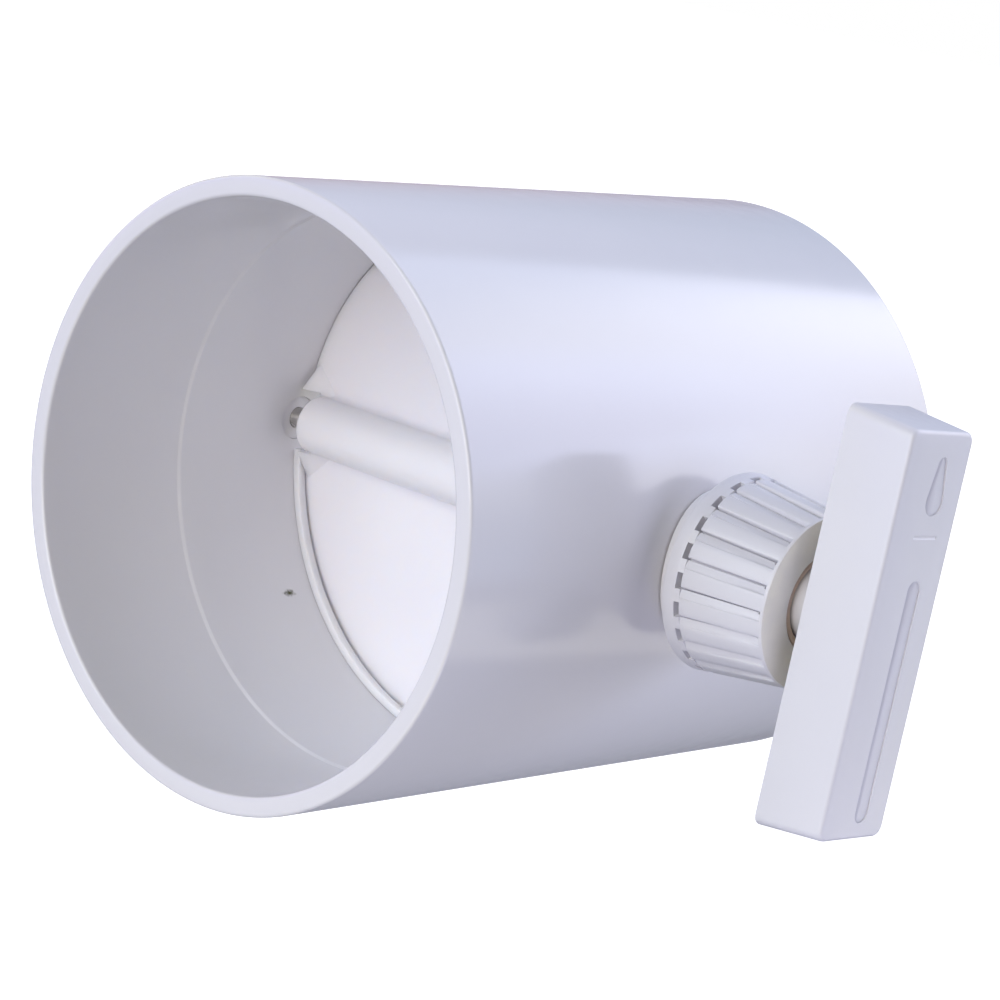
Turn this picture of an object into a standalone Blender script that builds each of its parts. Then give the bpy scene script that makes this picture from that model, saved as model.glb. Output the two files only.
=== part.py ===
"""Manual duct damper: a round blade in a short pipe, turned by a lever through a gland.

Units are metres. The origin is the centre of the pipe's inlet end. +Y runs along
the duct, +X runs along the blade's shaft out to the lever, and +Z is up.
"""
import math

import bmesh
import bpy
from mathutils import Matrix, Vector

MM = 0.001

# General clearances
SEAT_GAP = 0.3 * MM          # between pieces that touch
RUNNING_GAP = 0.1 * MM       # round a shaft that turns in its bush
CUT_MARGIN = 2.0 * MM        # how far a cutter runs past a face

# Pipe
PIPE_RADIUS = 55.0 * MM
PIPE_WALL = 3.6 * MM
PIPE_LENGTH = 130.0 * MM
SOCKET_DEPTH = 33.0 * MM     # the shallow step that a duct's inner sleeve meets
SOCKET_STEP = 0.4 * MM
RIM_CHAMFER = 0.4 * MM

# Shaft line
SHAFT_Y = 63.1 * MM
SHAFT_RADIUS = 4.0 * MM
SHAFT_ENGAGEMENT = 31.0 * MM  # in the sleeve
SHAFT_CHAMFER = 0.5 * MM
SQUARE_SIDE = 6.0 * MM
SQUARE_LENGTH = 9.3 * MM

# Blade
BLADE_OPEN_AT_REST = 1.3     # degrees from shut, as the photo shows it
BLADE_CLEARANCE = 0.5 * MM   # round the rim
BLADE_THICKNESS = 2.5 * MM
BLADE_OFFSET = 1.7 * MM      # front face behind the shaft line
BLADE_EDGE = 0.3 * MM
SLEEVE_RADIUS = 5.65 * MM
SLEEVE_END_GAP = 5.0 * MM     # from the sleeve's end to the bore
SLEEVE_FILLET = 1.2 * MM
SLEEVE_OVERRUN = 0.2 * MM
NOTCH_CLEARANCE = 0.55 * MM  # between the sleeve's side and the notch past its end
GUSSET_HEIGHT = 3.2 * MM
GUSSET_LENGTH = 6.5 * MM
GUSSET_WIDTH = 5.2 * MM
GUSSET_RIM_GAP = 0.5 * MM     # from the upper wedges to the rim

# Stop ribs
STOP_HEIGHT = 1.7 * MM
STOP_THICKNESS = 1.7 * MM
STOP_END_Z = 6.2 * MM
STOP_CHAMFER = 0.25 * MM

# Blade screws
SCREW_RADIUS = 1.5 * MM
SCREW_HEAD_RADIUS = 2.75 * MM
SCREW_HEAD_HEIGHT = 1.8 * MM
SCREW_DEPTH = 1.8 * MM       # past the shaft line
SCREW_END_DISTANCE = 8.0 * MM    # outer screw from the sleeve's end
SCREW_SPACING = 16.0 * MM
SPOT_FACE_DEPTH = 0.65 * MM
SLOT_WIDTH = 0.8 * MM
SLOT_DEPTH = 0.8 * MM

# Far pivot
PIVOT_RADIUS = 2.0 * MM
PIVOT_DEPTH = 13.0 * MM      # in the sleeve
PIVOT_HEAD_RADIUS = 3.9 * MM
PIVOT_HEAD_HEIGHT = 2.2 * MM
PIVOT_WASHER_RADIUS = 4.8 * MM
PIVOT_WASHER_THICKNESS = 0.8 * MM
PIVOT_BUSH_RADIUS = 4.0 * MM
PIVOT_FLANGE_RADIUS = 7.5 * MM
PIVOT_FLANGE_HEIGHT = 1.8 * MM

# Gland body
SPIGOT_RADIUS = 9.0 * MM
SPIGOT_RECESS = 0.2 * MM     # its inner end behind the bore
SADDLE_RADIUS = 13.4 * MM
SADDLE_HEIGHT = 3.6 * MM
NECK_RADIUS = 12.5 * MM
NECK_LENGTH = 13.4 * MM
NECK_CHAMFER = 0.6 * MM
BOX_RADIUS = 7.5 * MM        # the bore that holds bush and packing
BOX_FLOOR = 1.8 * MM
BUSH_LENGTH = 7.0 * MM
PACKING_LENGTH = 3.0 * MM
PACKING_CHAMFER = 0.4 * MM
FOLLOWER_NOSE = 6.3 * MM
FOLLOWER_FLANGE_RADIUS = 10.5 * MM
FOLLOWER_FLANGE = 1.9 * MM
SLIP_RING_THICKNESS = 1.0 * MM
SLIP_RING_BORE = 7.2 * MM

# Gland nut
NUT_SADDLE_GAP = 0.6 * MM
NUT_LENGTH = 20.0 * MM
NUT_TRAVEL = 3.0 * MM         # how far it is backed off to free the packing
NUT_FLANGE_RADIUS = 17.97 * MM
NUT_FACE_RADIUS = 15.45 * MM
NUT_FLANGE_WIDTH = 2.6 * MM
NUT_RIB_COUNT = 21
NUT_RIB_SHARE = 0.63         # of the pitch
NUT_RIB_PHASE = 20.3         # degrees, one rib's middle above the inlet side
NUT_PIT_LENGTH = 1.2 * MM
NUT_PIT_DEPTH = 1.6 * MM
NUT_GROOVE_DEPTHS = (0.6 * MM, 1.3 * MM)  # beside the rib above, flange end and mouth
NUT_CREASE_DEPTHS = (0.2 * MM, 0.9 * MM)  # beside the rib below
NUT_LIP = 0.7 * MM
NUT_EDGE = 0.35 * MM
NUT_MOUTH_RADIUS = 8.72 * MM
WIPER_BORE = 7.2 * MM
WIPER_RECESS = 0.45 * MM
WIPER_THICKNESS = 1.3 * MM

# Lever
LEVER_LEAN = 3.3             # degrees from upright at rest, top away from the inlet
LEVER_NUT_GAP = 0.2 * MM     # left when the nut is backed off
LEVER_DEPTH = 13.6 * MM
LEVER_INNER_HALF_WIDTH = 9.4 * MM
LEVER_OUTER_HALF_WIDTH = 9.0 * MM
LEVER_INNER_HALF_LENGTH = 36.8 * MM
LEVER_OUTER_HALF_LENGTH = 35.4 * MM
LEVER_SHIFT = -1.0 * MM      # middle of the lever from the shaft line
LEVER_CORNER = 1.8 * MM
LEVER_EDGE = 0.7 * MM
LEVER_WALL = 1.8 * MM
LEVER_FACE_WALL = 2.4 * MM
LEVER_HUB_RADIUS = 6.6 * MM
LEVER_RIB_THICKNESS = 1.4 * MM
LEVER_RIB_RECESS = 1.4 * MM
LEVER_RIB_PLACES = (-31.0 * MM, -22.0 * MM, -13.0 * MM, 13.0 * MM, 22.0 * MM, 31.0 * MM)
LEVER_WEB_HALF = 3.4 * MM
MARK_DEPTH = 0.8 * MM
MARK_SHIFT = 1.1 * MM        # the marks' line from the lever's middle, towards the outlet
KEYHOLE_TOP = 28.8 * MM
KEYHOLE_TOP_RADIUS = 1.6 * MM
KEYHOLE_BOTTOM = 22.6 * MM
KEYHOLE_BOTTOM_RADIUS = 2.9 * MM
DASH_PLACE = 16.4 * MM
DASH_HALF_LENGTH = 3.6 * MM
DASH_RADIUS = 0.55 * MM
GROOVE_TOP = 6.8 * MM
GROOVE_BOTTOM = -31.6 * MM
GROOVE_RADIUS = 2.0 * MM
GRUB_RADIUS = 2.0 * MM
GRUB_LENGTH = 4.5 * MM
GRUB_DISTANCE = 6.1 * MM     # from the lever's inner rim
GRUB_SOCKET = 1.1 * MM

# Sizes that follow from the ones above
SOCKET_RADIUS = PIPE_RADIUS - PIPE_WALL
BORE_RADIUS = SOCKET_RADIUS - SOCKET_STEP
BLADE_RADIUS = BORE_RADIUS - BLADE_CLEARANCE
SLEEVE_HALF_LENGTH = BORE_RADIUS - SLEEVE_END_GAP
SHAFT_INNER_END = SLEEVE_HALF_LENGTH - SHAFT_ENGAGEMENT
SCREW_PLACES = {
    "blade_screw_inner": SLEEVE_HALF_LENGTH - SCREW_END_DISTANCE - SCREW_SPACING,
    "blade_screw_outer": SLEEVE_HALF_LENGTH - SCREW_END_DISTANCE,
}
NOTCH_HALF = SLEEVE_RADIUS + NOTCH_CLEARANCE
STOP_INNER_RADIUS = BORE_RADIUS - STOP_HEIGHT
BLADE_FRONT = BLADE_OFFSET
BLADE_BACK = BLADE_OFFSET + BLADE_THICKNESS
SHAFT_HOLE_RADIUS = SHAFT_RADIUS + SEAT_GAP
SHAFT_RUNNING_RADIUS = SHAFT_RADIUS + RUNNING_GAP
SCREW_SEAT = SLEEVE_RADIUS - SPOT_FACE_DEPTH
GLAND_INNER = BORE_RADIUS + SPIGOT_RECESS
SADDLE_TOP = PIPE_RADIUS + SADDLE_HEIGHT
NUT_START = SADDLE_TOP + NUT_SADDLE_GAP
NUT_END = NUT_START + NUT_LENGTH
LEVER_INNER_X = NUT_END + NUT_TRAVEL + LEVER_NUT_GAP
LEVER_OUTER_X = LEVER_INNER_X + LEVER_DEPTH
GRUB_PLACE = LEVER_INNER_X + GRUB_DISTANCE
NECK_END = SADDLE_TOP + NECK_LENGTH
BOX_START = GLAND_INNER + BOX_FLOOR
LINER_RADIUS = BOX_RADIUS - SEAT_GAP
BUSH_START = BOX_START + SEAT_GAP
PACKING_STARTS = {
    "packing_ring_inner": BUSH_START + BUSH_LENGTH + SEAT_GAP,
    "packing_ring_outer": BUSH_START + BUSH_LENGTH + PACKING_LENGTH + 2 * SEAT_GAP,
}
FOLLOWER_START = PACKING_STARTS["packing_ring_outer"] + PACKING_LENGTH + SEAT_GAP
FOLLOWER_STEP = FOLLOWER_START + FOLLOWER_NOSE
FOLLOWER_END = FOLLOWER_STEP + FOLLOWER_FLANGE
SLIP_RING_START = FOLLOWER_END + SEAT_GAP
NUT_WALL_START = SLIP_RING_START + SLIP_RING_THICKNESS + SEAT_GAP
NUT_BORE_RADIUS = NECK_RADIUS + SEAT_GAP
WIPER_END = NUT_END - WIPER_RECESS
HUB_START = FOLLOWER_END + SEAT_GAP
LEVER_FLOOR = LEVER_OUTER_X - LEVER_FACE_WALL
SHAFT_END = LEVER_FLOOR - SEAT_GAP
SQUARE_START = SHAFT_END - SQUARE_LENGTH
LEVER_TURN = -(LEVER_LEAN + BLADE_OPEN_AT_REST)
PIVOT_FLANGE_END = PIPE_RADIUS + PIVOT_FLANGE_HEIGHT
PIVOT_WASHER_START = PIVOT_FLANGE_END + SEAT_GAP
PIVOT_HEAD_START = PIVOT_WASHER_START + PIVOT_WASHER_THICKNESS + SEAT_GAP

# Facets
PIPE_SEGMENTS = 96
BLADE_SEGMENTS = 80
ROUND_SEGMENTS = 40
SMALL_SEGMENTS = 24
SHARP_ANGLE = 30.0

# Finishes: colour, roughness, metallic
WHITE_PVC = ((0.72, 0.73, 0.80), 0.28, 0.0)
WHITE_MOULDING = ((0.68, 0.69, 0.75), 0.38, 0.0)
STEEL = ((0.60, 0.60, 0.62), 0.30, 1.0)
BLACK_RUBBER = ((0.03, 0.03, 0.03), 0.80, 0.0)
NATURAL_ACETAL = ((0.62, 0.61, 0.57), 0.45, 0.0)
BEIGE_FELT = ((0.47, 0.36, 0.27), 0.90, 0.0)


def clear_scene():
    """Remove every object of the scene."""
    for obj in list(bpy.data.objects):
        bpy.data.objects.remove(obj, do_unlink=True)


def make_material(name, finish):
    """Return a material for one sub-part."""
    colour, roughness, metallic = finish
    material = bpy.data.materials.new(name + "_finish")
    material.use_nodes = True
    shader = material.node_tree.nodes["Principled BSDF"]
    shader.inputs["Base Color"].default_value = (*colour, 1.0)
    shader.inputs["Roughness"].default_value = roughness
    shader.inputs["Metallic"].default_value = metallic
    material.diffuse_color = (*colour, 1.0)
    return material


def add_object(name, bm, finish=None):
    """Turn a closed bmesh into an object, with its faces pointing out."""
    bmesh.ops.recalc_face_normals(bm, faces=bm.faces)
    mesh = bpy.data.meshes.new(name)
    bm.to_mesh(mesh)
    bm.free()
    mesh.shade_smooth()
    mesh.set_sharp_from_angle(angle=math.radians(SHARP_ANGLE))
    obj = bpy.data.objects.new(name, mesh)
    bpy.context.scene.collection.objects.link(obj)
    if finish is not None:
        mesh.materials.append(make_material(name, finish))
    return obj


def as_tool(obj):
    """Mark an object as a cutter or an addition that isn't a sub-part."""
    obj.hide_render = True
    obj.display_type = "WIRE"
    return obj


def combine(obj, tool, operation):
    """Cut a tool from an object, or join it on, with an exact Boolean."""
    as_tool(tool)
    modifier = obj.modifiers.new(tool.name, "BOOLEAN")
    modifier.operation = operation
    modifier.solver = "EXACT"
    modifier.object = tool


def loft(loops, tube=False):
    """Skin equal loops of points into a closed body, as a tube or with two caps."""
    bm = bmesh.new()
    rings = [[bm.verts.new(point) for point in loop] for loop in loops]
    count = len(rings[0])
    pairs = list(zip(rings, rings[1:]))
    if tube:
        pairs.append((rings[-1], rings[0]))
    for low, high in pairs:
        for i in range(count):
            j = (i + 1) % count
            bm.faces.new((low[i], low[j], high[j], high[i]))
    if not tube:
        bm.faces.new(rings[0])
        bm.faces.new(rings[-1])
    return bm


def on_x(along, radius, angle):
    """A point about the shaft line; angle 0 faces the inlet, a quarter turn is up."""
    return Vector((along, -radius * math.cos(angle), radius * math.sin(angle)))


def on_y(along, radius, angle):
    """A point about the duct line."""
    return Vector((radius * math.cos(angle), along, radius * math.sin(angle)))


def turned(profile, place, segments, tube=True):
    """Turn (along, radius) points about a line. A solid's ends are flat caps."""
    steps = [2 * math.pi * i / segments for i in range(segments)]
    return loft([[place(along, radius, a) for a in steps] for along, radius in profile], tube)


def turned_tool(name, profile, place, segments, shift=(0.0, 0.0, 0.0)):
    """A turned solid that cuts or is joined on, moved by shift."""
    bm = turned(profile, place, segments, tube=False)
    bmesh.ops.translate(bm, verts=bm.verts, vec=Vector(shift))
    return add_object(name, bm)


def box_tool(name, low, high, turn=0.0):
    """A box between two corners, turned about the shaft line by degrees."""
    bm = bmesh.new()
    bmesh.ops.create_cube(bm, size=1.0)
    size = Vector(high) - Vector(low)
    middle = (Vector(high) + Vector(low)) / 2
    bmesh.ops.scale(bm, verts=bm.verts, vec=size)
    bmesh.ops.translate(bm, verts=bm.verts, vec=middle)
    bmesh.ops.rotate(bm, verts=bm.verts, matrix=Matrix.Rotation(math.radians(turn), 3, "X"))
    return add_object(name, bm)


def on_shaft(obj, carrier, turn=0.0):
    """Hang an object on a shaft-line empty, turned about it by degrees."""
    obj.parent = carrier
    obj.rotation_euler.x = math.radians(turn)
    return obj


def shaft_empty(name, turn=0.0):
    """An empty on the shaft line, where the blade and the nut turn."""
    empty = bpy.data.objects.new(name, None)
    empty.location = (0.0, SHAFT_Y, 0.0)
    empty.rotation_euler.x = math.radians(turn)
    bpy.context.scene.collection.objects.link(empty)
    return empty


def shaft_ring(name, finish, start, end, inner, outer, chamfer=0.0, segments=ROUND_SEGMENTS):
    """A plain ring about the shaft line, with its outer edges eased."""
    profile = [(start, inner), (start, outer - chamfer)]
    if chamfer:
        profile += [(start + chamfer, outer), (end - chamfer, outer)]
    profile += [(end, outer - chamfer), (end, inner)]
    return add_object(name, turned(profile, on_x, segments), finish)


def build_pipe():
    """The pipe with its two shallow sockets and the holes for gland and pivot."""
    ends = (0.0, PIPE_LENGTH)
    profile = [
        (ends[0], SOCKET_RADIUS + RIM_CHAMFER),
        (ends[0], PIPE_RADIUS - RIM_CHAMFER),
        (ends[0] + RIM_CHAMFER, PIPE_RADIUS),
        (ends[1] - RIM_CHAMFER, PIPE_RADIUS),
        (ends[1], PIPE_RADIUS - RIM_CHAMFER),
        (ends[1], SOCKET_RADIUS + RIM_CHAMFER),
        (ends[1] - RIM_CHAMFER, SOCKET_RADIUS),
        (ends[1] - SOCKET_DEPTH, SOCKET_RADIUS),
        (ends[1] - SOCKET_DEPTH, BORE_RADIUS),
        (ends[0] + SOCKET_DEPTH, BORE_RADIUS),
        (ends[0] + SOCKET_DEPTH, SOCKET_RADIUS),
        (ends[0] + RIM_CHAMFER, SOCKET_RADIUS),
    ]
    pipe = add_object("duct_pipe", turned(profile, on_y, PIPE_SEGMENTS), WHITE_PVC)
    inner = BORE_RADIUS - 2 * CUT_MARGIN
    outer = PIPE_RADIUS + CUT_MARGIN
    line = (0.0, SHAFT_Y, 0.0)
    for name, radius, side in (("gland_hole", SPIGOT_RADIUS, 1), ("pivot_hole", PIVOT_BUSH_RADIUS, -1)):
        hole = [(side * inner, radius + SEAT_GAP), (side * outer, radius + SEAT_GAP)]
        combine(pipe, turned_tool(name, hole, on_x, ROUND_SEGMENTS, line), "DIFFERENCE")


def build_stop_rib(name, front, upper):
    """One half ring on the bore that the blade shuts against."""
    outer = BORE_RADIUS - SEAT_GAP
    inner = STOP_INNER_RADIUS
    back = front + STOP_THICKNESS
    section = [
        (front, outer),
        (front, inner + STOP_CHAMFER),
        (front + STOP_CHAMFER, inner),
        (back, inner),
        (back, outer),
    ]
    lift = math.asin(STOP_END_Z / outer)
    start = lift if upper else math.pi + lift
    sweep = math.pi - 2 * lift
    steps = PIPE_SEGMENTS // 2
    loops = []
    for i in range(steps + 1):
        angle = start + sweep * i / steps
        loops.append([on_y(SHAFT_Y + along, radius, angle) for along, radius in section])
    add_object(name, loft(loops), WHITE_PVC)


def arc(centre_y, centre_z, radius, start, end, steps):
    """Points (y, z) on an arc, both ends included."""
    angles = [start + (end - start) * i / steps for i in range(steps + 1)]
    return [(centre_y + radius * math.cos(a), centre_z + radius * math.sin(a)) for a in angles]


def sleeve_outline():
    """The sleeve's section as (y, z): a round with a fillet to the blade's front face."""
    radius = SLEEVE_RADIUS
    root = BLADE_FRONT - SLEEVE_FILLET
    height = math.sqrt((radius + SLEEVE_FILLET) ** 2 - root ** 2)
    sunk = BLADE_FRONT + BLADE_THICKNESS * 0.2
    contact = math.atan2(height, root)
    waist = math.acos(sunk / radius)
    upper = arc(root, height, SLEEVE_FILLET, 0.0, contact - math.pi, 5)
    front = arc(0.0, 0.0, radius, contact, 2 * math.pi - contact, 16)[1:-1]
    lower = [(y, -z) for y, z in reversed(upper)]
    back = arc(0.0, 0.0, radius, -waist, waist, 12)
    return [(sunk, height)] + upper + front + lower + [(sunk, -height)] + back


def gusset_tool(name, side, upper):
    """A wedge between blade and sleeve end, close to the rim. It starts inside the sleeve."""
    limit = BLADE_RADIUS - GUSSET_RIM_GAP if upper else STOP_INNER_RADIUS - SEAT_GAP
    sunk = BLADE_FRONT + BLADE_THICKNESS * 0.3
    loops = []
    for z in (SLEEVE_RADIUS * 0.9, NOTCH_HALF + GUSSET_WIDTH):
        outer = math.sqrt(limit ** 2 - z ** 2)
        height = sunk - BLADE_FRONT + GUSSET_HEIGHT * (1 - (z - NOTCH_HALF) / GUSSET_WIDTH)
        inner = outer - height * GUSSET_LENGTH / GUSSET_HEIGHT
        place = z if upper else -z
        loops.append([
            Vector((side * outer, sunk, place)),
            Vector((side * outer, sunk - height, place)),
            Vector((side * inner, sunk, place)),
        ])
    return add_object(name, loft(loops))


def build_blade(carrier):
    """The disc with its sleeve, fillets, gussets, end notches and bores."""
    profile = [
        (BLADE_FRONT, BLADE_RADIUS - BLADE_EDGE),
        (BLADE_FRONT + BLADE_EDGE, BLADE_RADIUS),
        (BLADE_BACK - BLADE_EDGE, BLADE_RADIUS),
        (BLADE_BACK, BLADE_RADIUS - BLADE_EDGE),
    ]
    blade = add_object("damper_blade", turned(profile, on_y, BLADE_SEGMENTS, tube=False), WHITE_PVC)
    # The sleeve runs a little past its ends, and the notches trim it
    tip = SLEEVE_HALF_LENGTH + SLEEVE_OVERRUN
    loops = [[Vector((x, y, z)) for y, z in sleeve_outline()] for x in (-tip, tip)]
    tools = [(add_object("blade_sleeve", loft(loops)), "UNION")]
    for side, word in ((-1, "far"), (1, "near")):
        tools.append((gusset_tool("gusset_upper_" + word, side, True), "UNION"))
        tools.append((gusset_tool("gusset_lower_" + word, side, False), "UNION"))
        ends = sorted((side * SLEEVE_HALF_LENGTH, side * (BLADE_RADIUS + CUT_MARGIN)))
        notch = box_tool(
            "notch_" + word,
            (ends[0], BLADE_FRONT - GUSSET_HEIGHT - CUT_MARGIN, -NOTCH_HALF),
            (ends[1], BLADE_BACK + CUT_MARGIN, NOTCH_HALF),
        )
        tools.append((notch, "DIFFERENCE"))
    past_end = SLEEVE_HALF_LENGTH + CUT_MARGIN
    shaft_bore = [(SHAFT_INNER_END - SEAT_GAP, SHAFT_HOLE_RADIUS), (past_end, SHAFT_HOLE_RADIUS)]
    pin_hole = PIVOT_RADIUS + SEAT_GAP
    pin_floor = SLEEVE_HALF_LENGTH - PIVOT_DEPTH - SEAT_GAP
    pivot_bore = [(-past_end, pin_hole), (-pin_floor, pin_hole)]
    tools.append((turned_tool("shaft_bore", shaft_bore, on_x, ROUND_SEGMENTS), "DIFFERENCE"))
    tools.append((turned_tool("pivot_bore", pivot_bore, on_x, SMALL_SEGMENTS), "DIFFERENCE"))
    for name, place in SCREW_PLACES.items():
        hole = [
            (SHAFT_RADIUS - CUT_MARGIN, SCREW_RADIUS + SEAT_GAP),
            (SCREW_SEAT, SCREW_RADIUS + SEAT_GAP),
            (SCREW_SEAT, SCREW_HEAD_RADIUS + SEAT_GAP),
            (SLEEVE_RADIUS + CUT_MARGIN, SCREW_HEAD_RADIUS + SEAT_GAP),
        ]
        tool = turned_tool(name + "_seat", hole, on_y, SMALL_SEGMENTS, (place, 0.0, 0.0))
        tools.append((tool, "DIFFERENCE"))
    for tool, operation in tools:
        on_shaft(tool, carrier)
        combine(blade, tool, operation)
    on_shaft(blade, carrier)


def square_reach(angle):
    """How far the shaft's square reaches at an angle, within the round."""
    half = SQUARE_SIDE / 2
    return min(SHAFT_RADIUS, half / max(abs(math.cos(angle)), abs(math.sin(angle))))


def build_shaft(carrier):
    """The drive shaft, round to the lever and square in its hub."""
    steps = [2 * math.pi * i / ROUND_SEGMENTS for i in range(ROUND_SEGMENTS)]
    rounds = [
        (SHAFT_INNER_END, SHAFT_RADIUS - SHAFT_CHAMFER),
        (SHAFT_INNER_END + SHAFT_CHAMFER, SHAFT_RADIUS),
        (SQUARE_START, SHAFT_RADIUS),
    ]
    loops = [[on_x(x, radius, a) for a in steps] for x, radius in rounds]
    for x, inset in ((SQUARE_START, 0.0), (SHAFT_END - SHAFT_CHAMFER, 0.0), (SHAFT_END, SHAFT_CHAMFER)):
        loops.append([on_x(x, square_reach(a) - inset, a) for a in steps])
    shaft = add_object("drive_shaft", loft(loops), STEEL)
    for name, place in SCREW_PLACES.items():
        depth = SCREW_DEPTH + SEAT_GAP
        hole = [(-depth, SCREW_RADIUS + SEAT_GAP), (SHAFT_RADIUS + CUT_MARGIN, SCREW_RADIUS + SEAT_GAP)]
        tool = turned_tool(name + "_hole", hole, on_y, SMALL_SEGMENTS, (place, 0.0, 0.0))
        on_shaft(tool, carrier)
        combine(shaft, tool, "DIFFERENCE")
    # The square faces the lever, and the cross holes face the blade's back
    turn = Matrix.Rotation(math.radians(LEVER_TURN), 3, "X")
    for vertex in shaft.data.vertices:
        vertex.co = turn @ vertex.co
    on_shaft(shaft, carrier)


def slotted_head(obj, name, start, carrier, along_x):
    """Cut a screwdriver slot across a head that ends at start."""
    half = SLOT_WIDTH / 2
    reach = PIVOT_HEAD_RADIUS + CUT_MARGIN
    deep = SLOT_DEPTH
    past = CUT_MARGIN
    if along_x:
        tool = box_tool(name, (-start - past, -half, -reach), (-start + deep, half, reach))
    else:
        place = SCREW_PLACES[obj.name]
        tool = box_tool(name, (place - half, start - deep, -reach), (place + half, start + past, reach))
    on_shaft(tool, carrier)
    combine(obj, tool, "DIFFERENCE")


def build_blade_screws(carrier):
    """The two screws from the blade's back through sleeve and shaft."""
    head = SCREW_SEAT + SEAT_GAP
    top = head + SCREW_HEAD_HEIGHT
    ease = SCREW_HEAD_HEIGHT * 0.35
    profile = [
        (-SCREW_DEPTH, SCREW_RADIUS),
        (head, SCREW_RADIUS),
        (head, SCREW_HEAD_RADIUS),
        (top - ease, SCREW_HEAD_RADIUS),
        (top, SCREW_HEAD_RADIUS - ease),
    ]
    for name, place in SCREW_PLACES.items():
        bm = turned(profile, on_y, SMALL_SEGMENTS, tube=False)
        bmesh.ops.translate(bm, verts=bm.verts, vec=Vector((place, 0.0, 0.0)))
        screw = add_object(name, bm, STEEL)
        slotted_head(screw, name + "_slot", top, carrier, along_x=False)
        on_shaft(screw, carrier)


def build_pivot(root, carrier):
    """The far pivot: a bush in the wall, and the pin and washer that turn on it."""
    pin_end = -(SLEEVE_HALF_LENGTH - PIVOT_DEPTH)
    head_end = PIVOT_HEAD_START + PIVOT_HEAD_HEIGHT
    ease = PIVOT_HEAD_HEIGHT * 0.25
    profile = [
        (pin_end, PIVOT_RADIUS),
        (-PIVOT_HEAD_START, PIVOT_RADIUS),
        (-PIVOT_HEAD_START, PIVOT_HEAD_RADIUS),
        (-(head_end - ease), PIVOT_HEAD_RADIUS),
        (-head_end, PIVOT_HEAD_RADIUS - ease),
    ]
    pin = add_object("pivot_pin", turned(profile, on_x, SMALL_SEGMENTS, tube=False), STEEL)
    slotted_head(pin, "pivot_pin_slot", head_end, carrier, along_x=True)
    on_shaft(pin, carrier)
    washer_end = PIVOT_WASHER_START + PIVOT_WASHER_THICKNESS
    washer = shaft_ring(
        "pivot_washer", NATURAL_ACETAL, -washer_end, -PIVOT_WASHER_START,
        PIVOT_RADIUS + SEAT_GAP, PIVOT_WASHER_RADIUS, segments=SMALL_SEGMENTS,
    )
    on_shaft(washer, carrier)

    rim = PIVOT_FLANGE_HEIGHT * 0.3
    flange_profile = [
        (-(PIPE_RADIUS - CUT_MARGIN), PIVOT_FLANGE_RADIUS),
        (-(PIVOT_FLANGE_END - rim), PIVOT_FLANGE_RADIUS),
        (-PIVOT_FLANGE_END, PIVOT_FLANGE_RADIUS - rim),
    ]
    bush = add_object("pivot_bush", turned(flange_profile, on_x, ROUND_SEGMENTS, tube=False), WHITE_MOULDING)
    fit_to_pipe(bush, "pivot_bush_seat", root)
    body = [(-(BORE_RADIUS + SPIGOT_RECESS), PIVOT_BUSH_RADIUS), (-(PIPE_RADIUS + SEAT_GAP * 3), PIVOT_BUSH_RADIUS)]
    bore = PIVOT_RADIUS + RUNNING_GAP
    hole = [(-(BORE_RADIUS - CUT_MARGIN), bore), (-(PIVOT_FLANGE_END + CUT_MARGIN), bore)]
    for name, shape, operation in (("pivot_bush_body", body, "UNION"), ("pivot_bush_bore", hole, "DIFFERENCE")):
        tool = turned_tool(name, shape, on_x, ROUND_SEGMENTS)
        on_shaft(tool, root)
        combine(bush, tool, operation)
    on_shaft(bush, root)


def fit_to_pipe(obj, name, root):
    """Hollow a flange's underside to the pipe's round."""
    reach = SADDLE_RADIUS + CUT_MARGIN
    radius = PIPE_RADIUS + SEAT_GAP
    tool = turned_tool(name, [(-reach, radius), (reach, radius)], on_y, PIPE_SEGMENTS)
    on_shaft(tool, root)
    combine(obj, tool, "DIFFERENCE")


def build_gland_body(root):
    """The saddle on the pipe, its spigot in the wall and the threaded neck."""
    rim = SADDLE_HEIGHT * 0.2
    saddle = [
        (PIPE_RADIUS - 2 * CUT_MARGIN, SADDLE_RADIUS),
        (SADDLE_TOP - rim, SADDLE_RADIUS),
        (SADDLE_TOP, SADDLE_RADIUS - rim),
    ]
    body = add_object("gland_body", turned(saddle, on_x, ROUND_SEGMENTS, tube=False), WHITE_MOULDING)
    fit_to_pipe(body, "gland_body_seat", root)
    core_step = SADDLE_TOP - 1.5 * rim
    core = [
        (GLAND_INNER, SPIGOT_RADIUS),
        (core_step, SPIGOT_RADIUS),
        (core_step, NECK_RADIUS),
        (NECK_END - NECK_CHAMFER, NECK_RADIUS),
        (NECK_END, NECK_RADIUS - NECK_CHAMFER),
    ]
    hollow = [
        (GLAND_INNER - CUT_MARGIN, SHAFT_HOLE_RADIUS),
        (BOX_START, SHAFT_HOLE_RADIUS),
        (BOX_START, BOX_RADIUS),
        (NECK_END + CUT_MARGIN, BOX_RADIUS),
    ]
    for name, shape, operation in (("gland_core", core, "UNION"), ("gland_hollow", hollow, "DIFFERENCE")):
        tool = turned_tool(name, shape, on_x, ROUND_SEGMENTS)
        on_shaft(tool, root)
        combine(body, tool, operation)
    on_shaft(body, root)


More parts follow.
